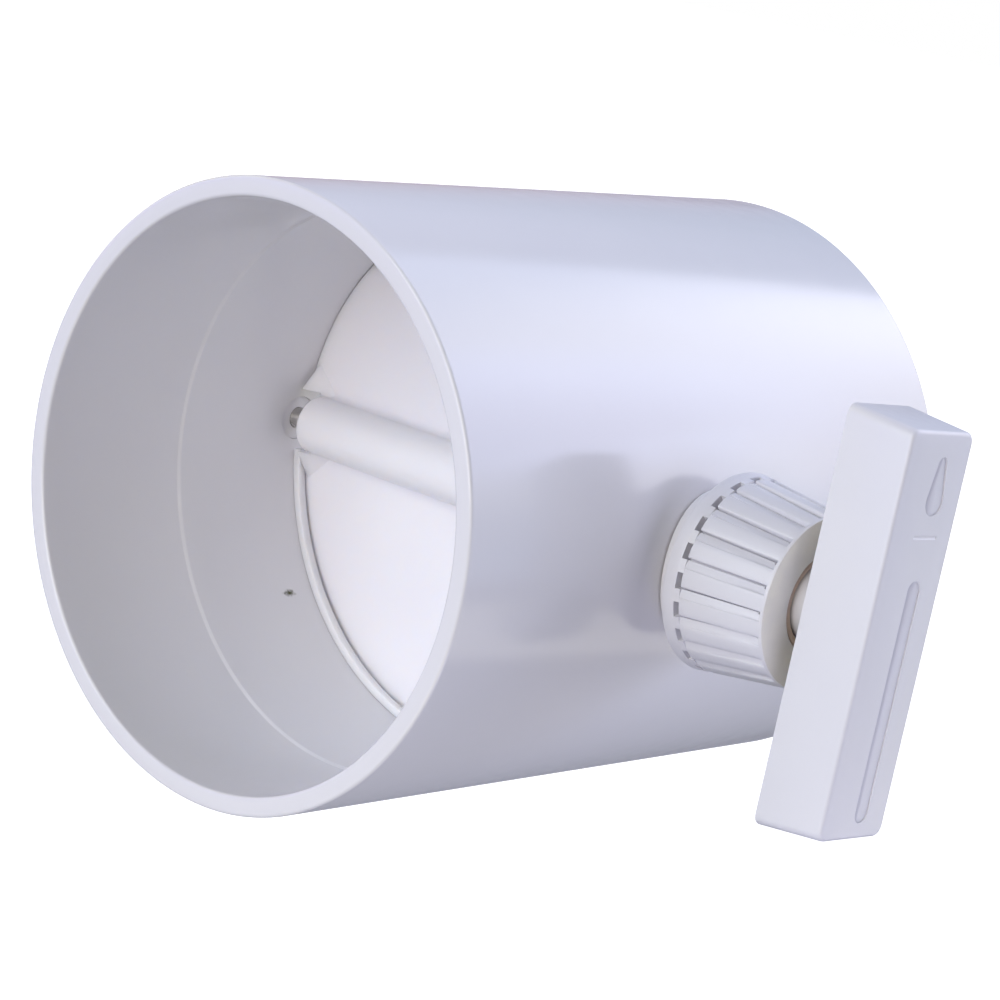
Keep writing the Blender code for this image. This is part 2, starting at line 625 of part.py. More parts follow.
def build_gland_inside(root, carrier, nut_carrier):
    """What the gland holds: bush, packing, follower and slip ring."""
    bush = shaft_ring(
        "gland_bush", NATURAL_ACETAL, BUSH_START, BUSH_START + BUSH_LENGTH,
        SHAFT_RUNNING_RADIUS, LINER_RADIUS, PACKING_CHAMFER,
    )
    on_shaft(bush, root)
    for name, start in PACKING_STARTS.items():
        ring = shaft_ring(
            name, BLACK_RUBBER, start, start + PACKING_LENGTH,
            SHAFT_HOLE_RADIUS, LINER_RADIUS, PACKING_CHAMFER, segments=32,
        )
        on_shaft(ring, root)
    profile = [
        (FOLLOWER_START, SHAFT_RUNNING_RADIUS),
        (FOLLOWER_START, LINER_RADIUS),
        (FOLLOWER_STEP, LINER_RADIUS),
        (FOLLOWER_STEP, FOLLOWER_FLANGE_RADIUS),
        (FOLLOWER_END, FOLLOWER_FLANGE_RADIUS),
        (FOLLOWER_END, SHAFT_RUNNING_RADIUS),
    ]
    follower = add_object("gland_follower", turned(profile, on_x, ROUND_SEGMENTS), WHITE_MOULDING)
    on_shaft(follower, root)
    slip = shaft_ring(
        "slip_ring", NATURAL_ACETAL, SLIP_RING_START, SLIP_RING_START + SLIP_RING_THICKNESS,
        SLIP_RING_BORE, FOLLOWER_FLANGE_RADIUS,
    )
    on_shaft(slip, nut_carrier)
    spacer = shaft_ring(
        "shaft_spacer", NATURAL_ACETAL, SLEEVE_HALF_LENGTH + SEAT_GAP, GLAND_INNER - SEAT_GAP,
        SHAFT_HOLE_RADIUS, SLEEVE_RADIUS,
    )
    on_shaft(spacer, carrier)


def nut_cone(x):
    """The nut's outer radius at x."""
    share = (x - NUT_START) / (NUT_END - NUT_START)
    return NUT_FLANGE_RADIUS + (NUT_FACE_RADIUS - NUT_FLANGE_RADIUS) * share


def nut_angles():
    """The angles of one rib and its groove, repeated round the nut."""
    pitch = 360.0 / NUT_RIB_COUNT
    half = pitch * NUT_RIB_SHARE / 2
    slope = pitch * 0.02
    angles = []
    for i in range(NUT_RIB_COUNT):
        middle = NUT_RIB_PHASE + pitch * i
        places = (
            ("rib", middle - half),
            ("rib", middle + half),
            ("shallow", middle + half + slope),
            ("deep", middle + pitch - half - slope),
        )
        angles += [(kind, math.radians(angle)) for kind, angle in places]
    return angles


def nut_loop(x, rib_cut, groove_cut, crease_cut):
    """One outer loop of the nut, cut back at its ribs, grooves and creases."""
    radius = nut_cone(x)
    depth = {"rib": rib_cut, "deep": groove_cut, "shallow": crease_cut}
    return [on_x(x, radius - depth[kind], angle) for kind, angle in nut_angles()]


def build_nut(nut_carrier):
    """The tapered gland nut with its flange, axial ribs and threaded bore."""
    flange_end = NUT_START + NUT_FLANGE_WIDTH
    ribs_start = flange_end + NUT_PIT_LENGTH
    ribs_end = NUT_END - NUT_LIP
    step = 0.06 * MM
    stations = [
        (NUT_START, NUT_EDGE, NUT_EDGE, NUT_EDGE),
        (NUT_START + NUT_EDGE, 0.0, 0.0, 0.0),
        (flange_end, 0.0, 0.0, 0.0),
        (flange_end + step, NUT_PIT_DEPTH, 0.0, 0.0),
        (ribs_start - step, NUT_PIT_DEPTH, 0.0, 0.0),
        (ribs_start, 0.0, NUT_GROOVE_DEPTHS[0], NUT_CREASE_DEPTHS[0]),
        (ribs_end, 0.0, NUT_GROOVE_DEPTHS[1], NUT_CREASE_DEPTHS[1]),
        (ribs_end + step, 0.0, 0.0, 0.0),
        (NUT_END - NUT_EDGE, 0.0, 0.0, 0.0),
        (NUT_END, NUT_EDGE, NUT_EDGE, NUT_EDGE),
    ]
    loops = [nut_loop(*station) for station in stations]
    inside = [
        (NUT_END, NUT_MOUTH_RADIUS + NUT_EDGE),
        (NUT_END - NUT_EDGE, NUT_MOUTH_RADIUS),
        (NUT_WALL_START, NUT_MOUTH_RADIUS),
        (NUT_WALL_START, NUT_BORE_RADIUS),
        (NUT_START + NUT_EDGE, NUT_BORE_RADIUS),
        (NUT_START, NUT_BORE_RADIUS + NUT_EDGE),
    ]
    for x, radius in inside:
        loops.append([on_x(x, radius, angle) for kind, angle in nut_angles()])
    nut = add_object("gland_nut", loft(loops, tube=True), WHITE_MOULDING)
    on_shaft(nut, nut_carrier)
    wiper = shaft_ring(
        "nut_wiper_ring", BEIGE_FELT, WIPER_END - WIPER_THICKNESS, WIPER_END,
        WIPER_BORE, NUT_MOUTH_RADIUS - SEAT_GAP,
    )
    on_shaft(wiper, nut_carrier)


def lever_size(x):
    """The lever's half width and half length at x, between its inner and outer faces."""
    share = (x - LEVER_INNER_X) / (LEVER_OUTER_X - LEVER_INNER_X)
    width = LEVER_INNER_HALF_WIDTH + (LEVER_OUTER_HALF_WIDTH - LEVER_INNER_HALF_WIDTH) * share
    length = LEVER_INNER_HALF_LENGTH + (LEVER_OUTER_HALF_LENGTH - LEVER_INNER_HALF_LENGTH) * share
    return width, length


def lever_loop(x, inset):
    """A rounded oblong across the lever at x, inset from its outside."""
    width, length = lever_size(x)
    corner = max(LEVER_CORNER - inset, LEVER_CORNER * 0.3)
    points = []
    steps = 4
    for quarter in range(4):
        side_y = 1 if quarter in (0, 3) else -1
        side_z = 1 if quarter in (0, 1) else -1
        for i in range(steps + 1):
            angle = math.pi / 2 * (quarter + i / steps)
            y = side_y * (width - inset - corner) + corner * math.cos(angle)
            z = side_z * (length - inset - corner) + corner * math.sin(angle) + LEVER_SHIFT
            points.append(Vector((x, y, z)))
    return points


def slot_tool(name, low, high, radius_low, radius_high):
    """A cutter in the lever's outer face: a straight slot from a low round up to a high one."""
    points = []
    steps = 10
    waist = math.asin(radius_high / radius_low)
    for centre, radius, start, sweep in (
        (high, radius_high, 0.0, math.pi),
        (low, radius_low, math.pi / 2 + waist, 2 * math.pi - 2 * waist),
    ):
        for i in range(steps + 1):
            angle = start + sweep * i / steps
            points.append((MARK_SHIFT + radius * math.cos(angle), centre + radius * math.sin(angle)))
    loops = []
    for x in (LEVER_OUTER_X - MARK_DEPTH, LEVER_OUTER_X + CUT_MARGIN):
        loops.append([Vector((x, y, z)) for y, z in points])
    return add_object(name, loft(loops))


def build_lever(carrier):
    """The moulded lever: a drafted box, open to the nut, with hub, webs and marks."""
    outside = [
        (LEVER_INNER_X, 0.0),
        (LEVER_OUTER_X - LEVER_EDGE, 0.0),
        (LEVER_OUTER_X - LEVER_EDGE * 0.3, LEVER_EDGE * 0.3),
        (LEVER_OUTER_X, LEVER_EDGE),
    ]
    inside = [(LEVER_INNER_X, LEVER_WALL), (LEVER_FLOOR, LEVER_WALL)]
    loops = [lever_loop(x, inset) for x, inset in reversed(outside)]
    loops += [lever_loop(x, inset) for x, inset in inside]
    lever = add_object("lever", loft(loops), WHITE_MOULDING)

    sunk = LEVER_FLOOR + LEVER_FACE_WALL * 0.3
    reach = LEVER_OUTER_HALF_WIDTH - LEVER_WALL * 0.6
    rib_start = LEVER_INNER_X + LEVER_RIB_RECESS
    tools = [(turned_tool("lever_hub", [(HUB_START, LEVER_HUB_RADIUS), (sunk, LEVER_HUB_RADIUS)],
                          on_x, ROUND_SEGMENTS), "UNION")]
    web = box_tool("lever_web", (rib_start, -reach, -LEVER_WEB_HALF), (sunk, reach, LEVER_WEB_HALF))
    tools.append((web, "UNION"))
    half = LEVER_RIB_THICKNESS / 2
    for i, place in enumerate(LEVER_RIB_PLACES):
        z = place + LEVER_SHIFT
        rib = box_tool("lever_rib_%d" % i, (rib_start, -reach, z - half), (sunk, reach, z + half))
        tools.append((rib, "UNION"))
    spine_ends = (LEVER_WEB_HALF * 0.5, LEVER_OUTER_HALF_LENGTH - LEVER_WALL * 0.6)
    for side, word in ((1, "upper"), (-1, "lower")):
        ends = sorted((side * spine_ends[0], side * spine_ends[1] + LEVER_SHIFT))
        spine = box_tool("lever_spine_" + word, (rib_start, -half, ends[0]), (sunk, half, ends[1]))
        tools.append((spine, "UNION"))

    round_bore = [(HUB_START - CUT_MARGIN, SHAFT_HOLE_RADIUS), (SQUARE_START + SEAT_GAP, SHAFT_HOLE_RADIUS)]
    tools.append((turned_tool("lever_round_bore", round_bore, on_x, ROUND_SEGMENTS), "DIFFERENCE"))
    square = SQUARE_SIDE / 2 + SEAT_GAP
    square_bore = box_tool("lever_square_bore", (SQUARE_START, -square, -square), (LEVER_FLOOR, square, square))
    tools.append((square_bore, "DIFFERENCE"))
    grub_hole = [(SQUARE_SIDE / 2, GRUB_RADIUS + SEAT_GAP),
                 (LEVER_INNER_HALF_WIDTH + CUT_MARGIN, GRUB_RADIUS + SEAT_GAP)]
    tool = turned_tool("lever_grub_hole", grub_hole, on_y, SMALL_SEGMENTS, (GRUB_PLACE, 0.0, 0.0))
    tools.append((tool, "DIFFERENCE"))
    marks = (
        ("keyhole_mark", KEYHOLE_BOTTOM, KEYHOLE_TOP, KEYHOLE_BOTTOM_RADIUS, KEYHOLE_TOP_RADIUS),
        ("groove_mark", GROOVE_BOTTOM, GROOVE_TOP, GROOVE_RADIUS, GROOVE_RADIUS),
    )
    for name, low, high, radius_low, radius_high in marks:
        tools.append((slot_tool(name, low, high, radius_low, radius_high), "DIFFERENCE"))
    dash = box_tool(
        "dash_mark",
        (LEVER_OUTER_X - MARK_DEPTH, MARK_SHIFT - DASH_HALF_LENGTH, DASH_PLACE - DASH_RADIUS),
        (LEVER_OUTER_X + CUT_MARGIN, MARK_SHIFT + DASH_HALF_LENGTH, DASH_PLACE + DASH_RADIUS),
    )
    tools.append((dash, "DIFFERENCE"))
    for tool, operation in tools:
        on_shaft(tool, carrier, LEVER_TURN)
        combine(lever, tool, operation)
    on_shaft(lever, carrier, LEVER_TURN)


def build_grub_screw(carrier):
    """The screw from the lever's back edge onto the shaft's square."""
    start = SQUARE_SIDE / 2 + SEAT_GAP
    end = start + GRUB_LENGTH
    ease = GRUB_RADIUS * 0.25
    profile = [
        (start, GRUB_RADIUS - ease),
        (start + ease, GRUB_RADIUS),
        (end - ease, GRUB_RADIUS),
        (end, GRUB_RADIUS - ease),
    ]
    bm = turned(profile, on_y, SMALL_SEGMENTS, tube=False)
    bmesh.ops.translate(bm, verts=bm.verts, vec=Vector((GRUB_PLACE, 0.0, 0.0)))
    screw = add_object("lever_grub_screw", bm, STEEL)
    socket = [(end - GRUB_LENGTH / 2, GRUB_SOCKET), (end + CUT_MARGIN, GRUB_SOCKET)]
    tool = turned_tool("grub_socket", socket, on_y, 6, (GRUB_PLACE, 0.0, 0.0))
    on_shaft(tool, carrier, LEVER_TURN)
    combine(screw, tool, "DIFFERENCE")
    on_shaft(screw, carrier, LEVER_TURN)


def build():
    """Build every sub-part of the damper."""
    clear_scene()
    root = shaft_empty("fixed_line")
    carrier = shaft_empty("blade_line", BLADE_OPEN_AT_REST)
    nut_carrier = shaft_empty("nut_line")
    build_pipe()
    build_stop_rib("front_stop_rib", BLADE_FRONT - SEAT_GAP - STOP_THICKNESS, upper=False)
    build_stop_rib("rear_stop_rib", BLADE_BACK + SEAT_GAP, upper=True)
    build_blade(carrier)
    build_shaft(carrier)
    build_blade_screws(carrier)
    build_pivot(root, carrier)
    build_gland_body(root)
    build_gland_inside(root, carrier, nut_carrier)
    build_nut(nut_carrier)
    build_lever(carrier)
    build_grub_screw(carrier)


build()
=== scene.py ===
"""Looks of the manual duct damper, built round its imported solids.

All places are metres in the part's own frame: +Y along the duct from the inlet end,
+X along the blade's shaft out to the lever, +Z up.
"""

import logging
import math
from collections.abc import Sequence
from dataclasses import dataclass
from enum import Enum, IntEnum

import bmesh
import bpy
from mathutils import Matrix, Vector


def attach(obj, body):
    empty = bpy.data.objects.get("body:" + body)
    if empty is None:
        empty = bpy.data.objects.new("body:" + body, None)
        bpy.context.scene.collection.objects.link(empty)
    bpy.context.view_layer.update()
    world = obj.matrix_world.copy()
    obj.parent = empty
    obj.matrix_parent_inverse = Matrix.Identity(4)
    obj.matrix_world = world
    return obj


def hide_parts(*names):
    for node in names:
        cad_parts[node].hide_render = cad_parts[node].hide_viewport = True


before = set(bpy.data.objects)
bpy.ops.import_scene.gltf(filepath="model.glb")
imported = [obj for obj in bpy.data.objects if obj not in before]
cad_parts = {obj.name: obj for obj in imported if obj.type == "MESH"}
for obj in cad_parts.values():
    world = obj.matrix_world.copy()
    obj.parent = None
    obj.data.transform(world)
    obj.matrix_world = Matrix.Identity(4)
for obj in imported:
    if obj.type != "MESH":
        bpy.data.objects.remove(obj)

logging.basicConfig(level=logging.INFO, format="%(message)s")
LOG = logging.getLogger("duct_damper")

MM = 0.001
FULL_TURN = 2 * math.pi
# How far a cutter reaches past what it cuts
PAST = 2 * MM
Point = tuple[float, float]
Triple = tuple[float, float, float]
Quad = tuple[float, float, float, float]
Piece = bpy.types.Object
Skin = bmesh.types.BMesh
Material = bpy.types.Material
Tree = bpy.types.NodeTree
Socket = bpy.types.NodeSocket


class Line(Enum):
    """The line that a turned piece is turned about."""

    DUCT = "duct"
    SHAFT = "shaft"


class Cut(Enum):
    """How one solid is combined with another."""

    ADD = "UNION"
    REMOVE = "DIFFERENCE"


class Facets(IntEnum):
    """How many facets a turned piece or hole has round it."""

    HEXAGON = 6
    DASH = 24
    CROSS_HOLE = 32
    SCREW = 40
    PIN = 48
    HOLE = 64
    RING = 96
    GLAND = 128
    DISC = 240
    PIPE = 256


# Colour and node helpers

# Numbers of the colour mix node's share, of its two colours and of its result
SHARE, FIRST, SECOND, MIXED = 0, 6, 7, 2
COLOUR_MIX = {"data_type": "RGBA"}
# A noise seldom leaves these values, so a range laid over them is used in full
NOISE_REACH = {"From Min": 0.3, "From Max": 0.7}


def srgb(code: str) -> Quad:
    """Turn an sRGB hex colour into linear light.

    Args:
        code: Six hex digits, such as "E0E1EA".

    Returns:
        Red, green, blue and alpha, linear.
    """
    parts = [int(code[i:i + 2], 16) / 255 for i in (0, 2, 4)]
    linear = [p / 12.92 if p <= 0.04045 else ((p + 0.055) / 1.055) ** 2.4 for p in parts]
    return (linear[0], linear[1], linear[2], 1.0)


def add_node(tree: Tree, kind: str, settings: dict | None = None,
             inputs: dict | None = None) -> bpy.types.Node:
    """Add a node with its settings, its values and its links.

    Args:
        tree: The shader or geometry tree.
        kind: The node's type name.
        settings: Attributes of the node.
        inputs: Input name or number to a value, or to the output socket that feeds it.

    Returns:
        The new node.
    """
    node = tree.nodes.new(kind)
    for name, value in (settings or {}).items():
        setattr(node, name, value)
    for name, value in (inputs or {}).items():
        if isinstance(value, Socket):
            tree.links.new(value, node.inputs[name])
        else:
            node.inputs[name].default_value = value
    return node


def new_material(name: str) -> tuple[Material, Tree, Socket]:
    """Start a material with an empty node tree.

    Args:
        name: The material's name.

    Returns:
        The material, its tree and the socket with the object's coordinates.
    """
    material = bpy.data.materials.new(name)
    material.use_nodes = True
    tree = material.node_tree
    tree.nodes.clear()
    return material, tree, add_node(tree, "ShaderNodeTexCoord").outputs["Object"]


# Finishes


@dataclass(frozen=True)
class Stain:
    """A small spot of dirt at one place on a surface."""

    centre: Triple
    radius: float
    colour: str
    squeeze: Triple
    wobble_size: float = 0.7 * MM


@dataclass(frozen=True)
class MouldedPlastic:
    """A white plastic surface, extruded or moulded.

    The colour drifts a little over centimetres, the gloss over millimetres, and a
    fine relief gives the tool's finish.
    """

    name: str
    colour: str
    shade: str
    roughness: float
    gloss_drift: float = 0.05
    drift_size: float = 35 * MM
    mottle_share: float = 0.12
    grain_size: float = 0.9 * MM
    grain_depth: float = 0.006 * MM
    line_spacing: float = 0.0
    line_depth: float = 0.0
    subsurface: float = 0.0
    subsurface_depth: float = 0.6 * MM
    edge_radius: float = 0.0
    stain: Stain | None = None
    # Painted light: a lighter colour laid on the face beyond a place on the shaft line, with the width of
    # its soft edge and the size of its patches
    painted_light: str = ""
    painted_light_from_x: float = 0.0
    painted_light_edge: float = 0.25 * MM
    light_patch_size: float = 4 * MM

    def build(self) -> Material:
        """Build the finish.

        Returns:
            The material.
        """
        material, tree, place = new_material(self.name)
        drift = add_node(tree, "ShaderNodeTexNoise", None, {
            "Vector": place, "Scale": 1 / self.drift_size, "Detail": 3.0, "Roughness": 0.5})
        mottle = add_node(tree, "ShaderNodeTexNoise", None, {
            "Vector": place, "Scale": 1 / (self.drift_size * self.mottle_share), "Detail": 4.0})
        colour = add_node(tree, "ShaderNodeMix", COLOUR_MIX, {
            SHARE: drift.outputs["Fac"], FIRST: srgb(self.colour), SECOND: srgb(self.shade)}).outputs[MIXED]
        # Painted light, lighter than the clean colour, on the face beyond a place on the shaft line
        if self.painted_light:
            colour = self.add_painted_light(tree, place, colour)
        if self.stain:
            colour = self.add_stain(tree, place, colour)
        gloss = add_node(tree, "ShaderNodeMapRange", None, {
            "Value": mottle.outputs["Fac"], **NOISE_REACH,
            "To Min": self.roughness - self.gloss_drift, "To Max": self.roughness + self.gloss_drift})
        shader = add_node(tree, "ShaderNodeBsdfPrincipled", None, {
            "Base Color": colour, "Roughness": gloss.outputs["Result"],
            "Normal": self.relief(tree, place), "IOR": 1.5, "Specular IOR Level": 0.5})
        if self.subsurface:
            shader.subsurface_method = "RANDOM_WALK"
            shader.inputs["Subsurface Weight"].default_value = self.subsurface
            shader.inputs["Subsurface Radius"].default_value = (1.0, 0.9, 0.8)
            shader.inputs["Subsurface Scale"].default_value = self.subsurface_depth
        add_node(tree, "ShaderNodeOutputMaterial", None, {"Surface": shader.outputs["BSDF"]})
        return material

    def relief(self, tree: Tree, place: Socket) -> Socket:
        """Add the tool's fine grain, eased edges and the die's faint lines along the duct.

        Args:
            tree: The material's tree.
            place: The object's coordinates.

        Returns:
            The socket with the normal.
        """
        grain = add_node(tree, "ShaderNodeTexNoise", None, {
            "Vector": place, "Scale": 1 / self.grain_size, "Detail": 2.0})
        bump = add_node(tree, "ShaderNodeBump", None, {
            "Height": grain.outputs["Fac"], "Distance": self.grain_depth, "Strength": 1.0})
        if self.edge_radius:
            edge = add_node(tree, "ShaderNodeBevel", {"samples": 4}, {"Radius": self.edge_radius})
            tree.links.new(edge.outputs["Normal"], bump.inputs["Normal"])
        if self.line_depth:
            stretched = add_node(tree, "ShaderNodeMapping", None, {
                "Vector": place, "Scale": (1 / self.line_spacing, 0.6, 1 / self.line_spacing)})
            lines = add_node(tree, "ShaderNodeTexNoise", None, {
                "Vector": stretched.outputs["Vector"], "Scale": 1.0, "Detail": 3.0})
            bump = add_node(tree, "ShaderNodeBump", None, {
                "Height": lines.outputs["Fac"], "Distance": self.line_depth, "Strength": 1.0,
                "Normal": bump.outputs["Normal"]})
        return bump.outputs["Normal"]

    def add_painted_light(self, tree: Tree, place: Socket, colour: Socket) -> Socket:
        """Paint light on the face beyond a place on the shaft line: a lighter colour in soft patches,
        painted light where the face lies in shade.

        Args:
            tree: The material's tree.
            place: The object's coordinates.
            colour: The colour without the painted light.

        Returns:
            The colour with the painted light on the face.
        """
        parts = add_node(tree, "ShaderNodeSeparateXYZ", None, {"Vector": place})
        light_patches = add_node(tree, "ShaderNodeTexNoise", None, {
            "Vector": place, "Scale": 1 / self.light_patch_size, "Detail": 4.0})
        edge = add_node(tree, "ShaderNodeMapRange", {"interpolation_type": "SMOOTHSTEP"}, {
            "Value": parts.outputs["X"], "From Min": self.painted_light_from_x,
            "From Max": self.painted_light_from_x + self.painted_light_edge, "To Min": 0.0, "To Max": 1.0})
        patch = add_node(tree, "ShaderNodeMapRange", None, {
            "Value": light_patches.outputs["Fac"], **NOISE_REACH, "To Min": 0.75, "To Max": 1.0})
        share = add_node(tree, "ShaderNodeMath", {"operation": "MULTIPLY"}, {
            0: edge.outputs["Result"], 1: patch.outputs["Result"]})
        return add_node(tree, "ShaderNodeMix", COLOUR_MIX, {
            SHARE: share.outputs[0], FIRST: colour, SECOND: srgb(self.painted_light)}).outputs[MIXED]

    def add_stain(self, tree: Tree, place: Socket, colour: Socket) -> Socket:
        """Add the spot of dirt.

        Args:
            tree: The material's tree.
            place: The object's coordinates.
            colour: The clean colour.

        Returns:
            The colour with the spot.
        """
        stain = self.stain
        wobble = add_node(tree, "ShaderNodeTexNoise", None, {
            "Vector": place, "Scale": 1 / stain.wobble_size, "Detail": 2.0})
        offset = add_node(tree, "ShaderNodeVectorMath", {"operation": "SUBTRACT"}, {
            0: place, 1: stain.centre})
        drawn = add_node(tree, "ShaderNodeVectorMath", {"operation": "MULTIPLY"}, {
            0: offset.outputs["Vector"], 1: stain.squeeze})
        reach = add_node(tree, "ShaderNodeVectorMath", {"operation": "LENGTH"}, {
            0: drawn.outputs["Vector"]})
        ragged = add_node(tree, "ShaderNodeMath", {"operation": "MULTIPLY_ADD"}, {
            0: wobble.outputs["Fac"], 1: stain.radius * 1.2, 2: reach.outputs["Value"]})
        spot = add_node(tree, "ShaderNodeMapRange", {"interpolation_type": "SMOOTHSTEP"}, {
            "Value": ragged.outputs[0], "From Min": stain.radius * 0.9,
            "From Max": stain.radius * 1.8, "To Min": 1.0, "To Max": 0.0})
        return add_node(tree, "ShaderNodeMix", COLOUR_MIX, {
            SHARE: spot.outputs["Result"], FIRST: colour, SECOND: srgb(stain.colour)}).outputs[MIXED]


@dataclass(frozen=True)
class TurnedSteel:
    """Stainless steel off the lathe: bright, with fine rings across the line it was turned on."""

    name: str
    colour: str = "C9C8C4"
    roughness: float = 0.27
    ring_spacing: float = 0.12 * MM
    ring_depth: float = 0.002 * MM
    handling_size: float = 5 * MM

    def build(self) -> Material:
        """Build the finish.

        Returns:
            The material.
        """
        material, tree, place = new_material(self.name)
        stretched = add_node(tree, "ShaderNodeMapping", None, {
            "Vector": place, "Scale": (1 / self.ring_spacing, 20.0, 20.0)})
        rings = add_node(tree, "ShaderNodeTexNoise", None, {
            "Vector": stretched.outputs["Vector"], "Scale": 1.0, "Detail": 2.0})
        handling = add_node(tree, "ShaderNodeTexNoise", None, {
            "Vector": place, "Scale": 1 / self.handling_size, "Detail": 4.0})
        gloss = add_node(tree, "ShaderNodeMapRange", None, {
            "Value": handling.outputs["Fac"], **NOISE_REACH,
            "To Min": self.roughness - 0.06, "To Max": self.roughness + 0.09})
        bump = add_node(tree, "ShaderNodeBump", None, {
            "Height": rings.outputs["Fac"], "Distance": self.ring_depth, "Strength": 1.0})
        shader = add_node(tree, "ShaderNodeBsdfPrincipled", None, {
            "Base Color": srgb(self.colour), "Metallic": 1.0, "Roughness": gloss.outputs["Result"],
            "Normal": bump.outputs["Normal"]})
        add_node(tree, "ShaderNodeOutputMaterial", None, {"Surface": shader.outputs["BSDF"]})
        return material


@dataclass(frozen=True)
class FibreOrRubber:
    """Pressed felt or moulded rubber: matt, with a fibrous or pitted relief and no clear gloss."""

    name: str
    colour: str
    shade: str
    roughness: float
    fibre_size: float
    fibre_depth: float
    sheen: float = 0.0

    def build(self) -> Material:
        """Build the finish.

        Returns:
            The material.
        """
        material, tree, place = new_material(self.name)
        fibres = add_node(tree, "ShaderNodeTexNoise", None, {
            "Vector": place, "Scale": 1 / self.fibre_size, "Detail": 6.0, "Roughness": 0.65,
            "Distortion": 0.8})
        colour = add_node(tree, "ShaderNodeMix", COLOUR_MIX, {
            SHARE: fibres.outputs["Fac"], FIRST: srgb(self.colour), SECOND: srgb(self.shade)})
        bump = add_node(tree, "ShaderNodeBump", None, {
            "Height": fibres.outputs["Fac"], "Distance": self.fibre_depth, "Strength": 1.0})
        shader = add_node(tree, "ShaderNodeBsdfPrincipled", None, {
            "Base Color": colour.outputs[MIXED], "Roughness": self.roughness,
            "Normal": bump.outputs["Normal"], "Sheen Weight": self.sheen})
        add_node(tree, "ShaderNodeOutputMaterial", None, {"Surface": shader.outputs["BSDF"]})
        return material


Finish = MouldedPlastic | TurnedSteel | FibreOrRubber


@dataclass(frozen=True)
class Finishes:
    """The finishes of the damper's pieces."""

    # Extruded rigid PVC, bluish white: a soft gloss, with faint die lines along the pipe
    # and one small spot of dirt in the bore
    pipe: MouldedPlastic = MouldedPlastic(
        "extruded_pvc", "DEDEE3", "DADAE0", 0.17, gloss_drift=0.02, line_spacing=1.6 * MM,
        line_depth=0.002 * MM, grain_size=2.5 * MM, grain_depth=0.002 * MM,
        stain=Stain((-39.8 * MM, 56.7 * MM, -32.5 * MM), 0.85 * MM, "4A4B33", (1.0, 0.5, 1.0)))
    # Injection-moulded PVC, a little warmer: satin, and thin enough that light bleeds into its gaps
    blade: MouldedPlastic = MouldedPlastic(
        "moulded_pvc", "E8E8ED", "E4E4EA", 0.33, drift_size=22 * MM, edge_radius=0.25 * MM,
        subsurface=0.8, subsurface_depth=3.0 * MM)
    # The front rib's PVC, glossier where the solvent that welded it has flowed
    welded_pvc: MouldedPlastic = MouldedPlastic(
        "solvent_welded_pvc", "E8E8ED", "E4E4EA", 0.16, drift_size=12 * MM, subsurface=0.8,
        subsurface_depth=3.0 * MM)
    # Moulded ABS of lever and gland, satin from a fine spark-eroded tool
    abs_satin: MouldedPlastic = MouldedPlastic(
        "moulded_abs", "D9D9E0", "D5D5DD", 0.33, drift_size=18 * MM, grain_size=0.45 * MM,
        grain_depth=0.008 * MM)
    # The nut's ABS, with its end face painted lighter and warmer: painted light that lifts the face where
    # the lever shades it
    nut_abs: MouldedPlastic = MouldedPlastic(
        "moulded_abs_nut", "D2D2DA", "CECED6", 0.36, drift_size=14 * MM, grain_size=0.45 * MM,
        grain_depth=0.008 * MM, painted_light="F0EEE6", painted_light_from_x=78.95 * MM)
    # Natural acetal: waxy and off-white
    acetal: MouldedPlastic = MouldedPlastic(
        "natural_acetal", "D4D2C8", "CCCABF", 0.42, drift_size=9 * MM, subsurface=0.2)
    # Turned stainless steel of shaft, pin and screws: bright, with fine turning rings
    steel: TurnedSteel = TurnedSteel("turned_stainless")
    # Moulded EPDM rubber of the packing rings: black and matt
    rubber: FibreOrRubber = FibreOrRubber(
        "epdm_rubber", "1C1C1D", "252524", 0.72, 0.5 * MM, 0.01 * MM)
    # Pressed wool felt of the wiper ring: beige, fibrous, with a soft sheen
    felt: FibreOrRubber = FibreOrRubber(
        "wool_felt", "CDB9A8", "B8A08B", 0.95, 0.35 * MM, 0.12 * MM, sheen=0.3)


# Mesh helpers

# Angle in degrees under which neighbouring faces are shaded as one surface
SMOOTH_BELOW = 32.0
# Share of a side that a rounding may use, and the shortest and the straightest corner that is rounded
SIDE_SHARE = 0.45
SHORTEST_SIDE = 1e-9
STRAIGHT_WITHIN = 0.09


def on_line(line: Line, along: float, radius: float, angle: float) -> Vector:
    """Find a point about a line.

    Args:
        line: The duct's or the shaft's line.
        along: Distance along it.
        radius: Distance from it.
        angle: About the duct from +X to +Z; about the shaft from -Y to +Z.

    Returns:
        The point.
    """
    if line is Line.DUCT:
        return Vector((radius * math.cos(angle), along, radius * math.sin(angle)))
    return Vector((along, -radius * math.cos(angle), radius * math.sin(angle)))


def eased(profile: Sequence[Point], radius: float, steps: int = 3, closed: bool = True) -> list[Point]:
    """Round the corners of a profile.

    Args:
        profile: The corner points.
        radius: The rounding's reach along each side.
        steps: Steps on each rounded corner.
        closed: Whether the last point joins the first.

    Returns:
        The rounded profile.
    """
    points = [Vector(corner) for corner in profile]
    count = len(points)
    out: list[Point] = []
    for i, point in enumerate(points):
        before = points[i - 1] - point
        after = points[(i + 1) % count] - point
        is_end = not closed and i in (0, count - 1)
        is_short = min(before.length, after.length) < SHORTEST_SIDE
        if is_end or is_short or abs(before.angle(after) - math.pi) < STRAIGHT_WITHIN:
            out.append((point.x, point.y))
            continue
        reach = min(radius, before.length * SIDE_SHARE, after.length * SIDE_SHARE)
        start = point + before.normalized() * reach
        end = point + after.normalized() * reach
        for j in range(steps + 1):
            t = j / steps
            spot = start * (1 - t) ** 2 + point * 2 * t * (1 - t) + end * t ** 2
            out.append((spot.x, spot.y))
    return out


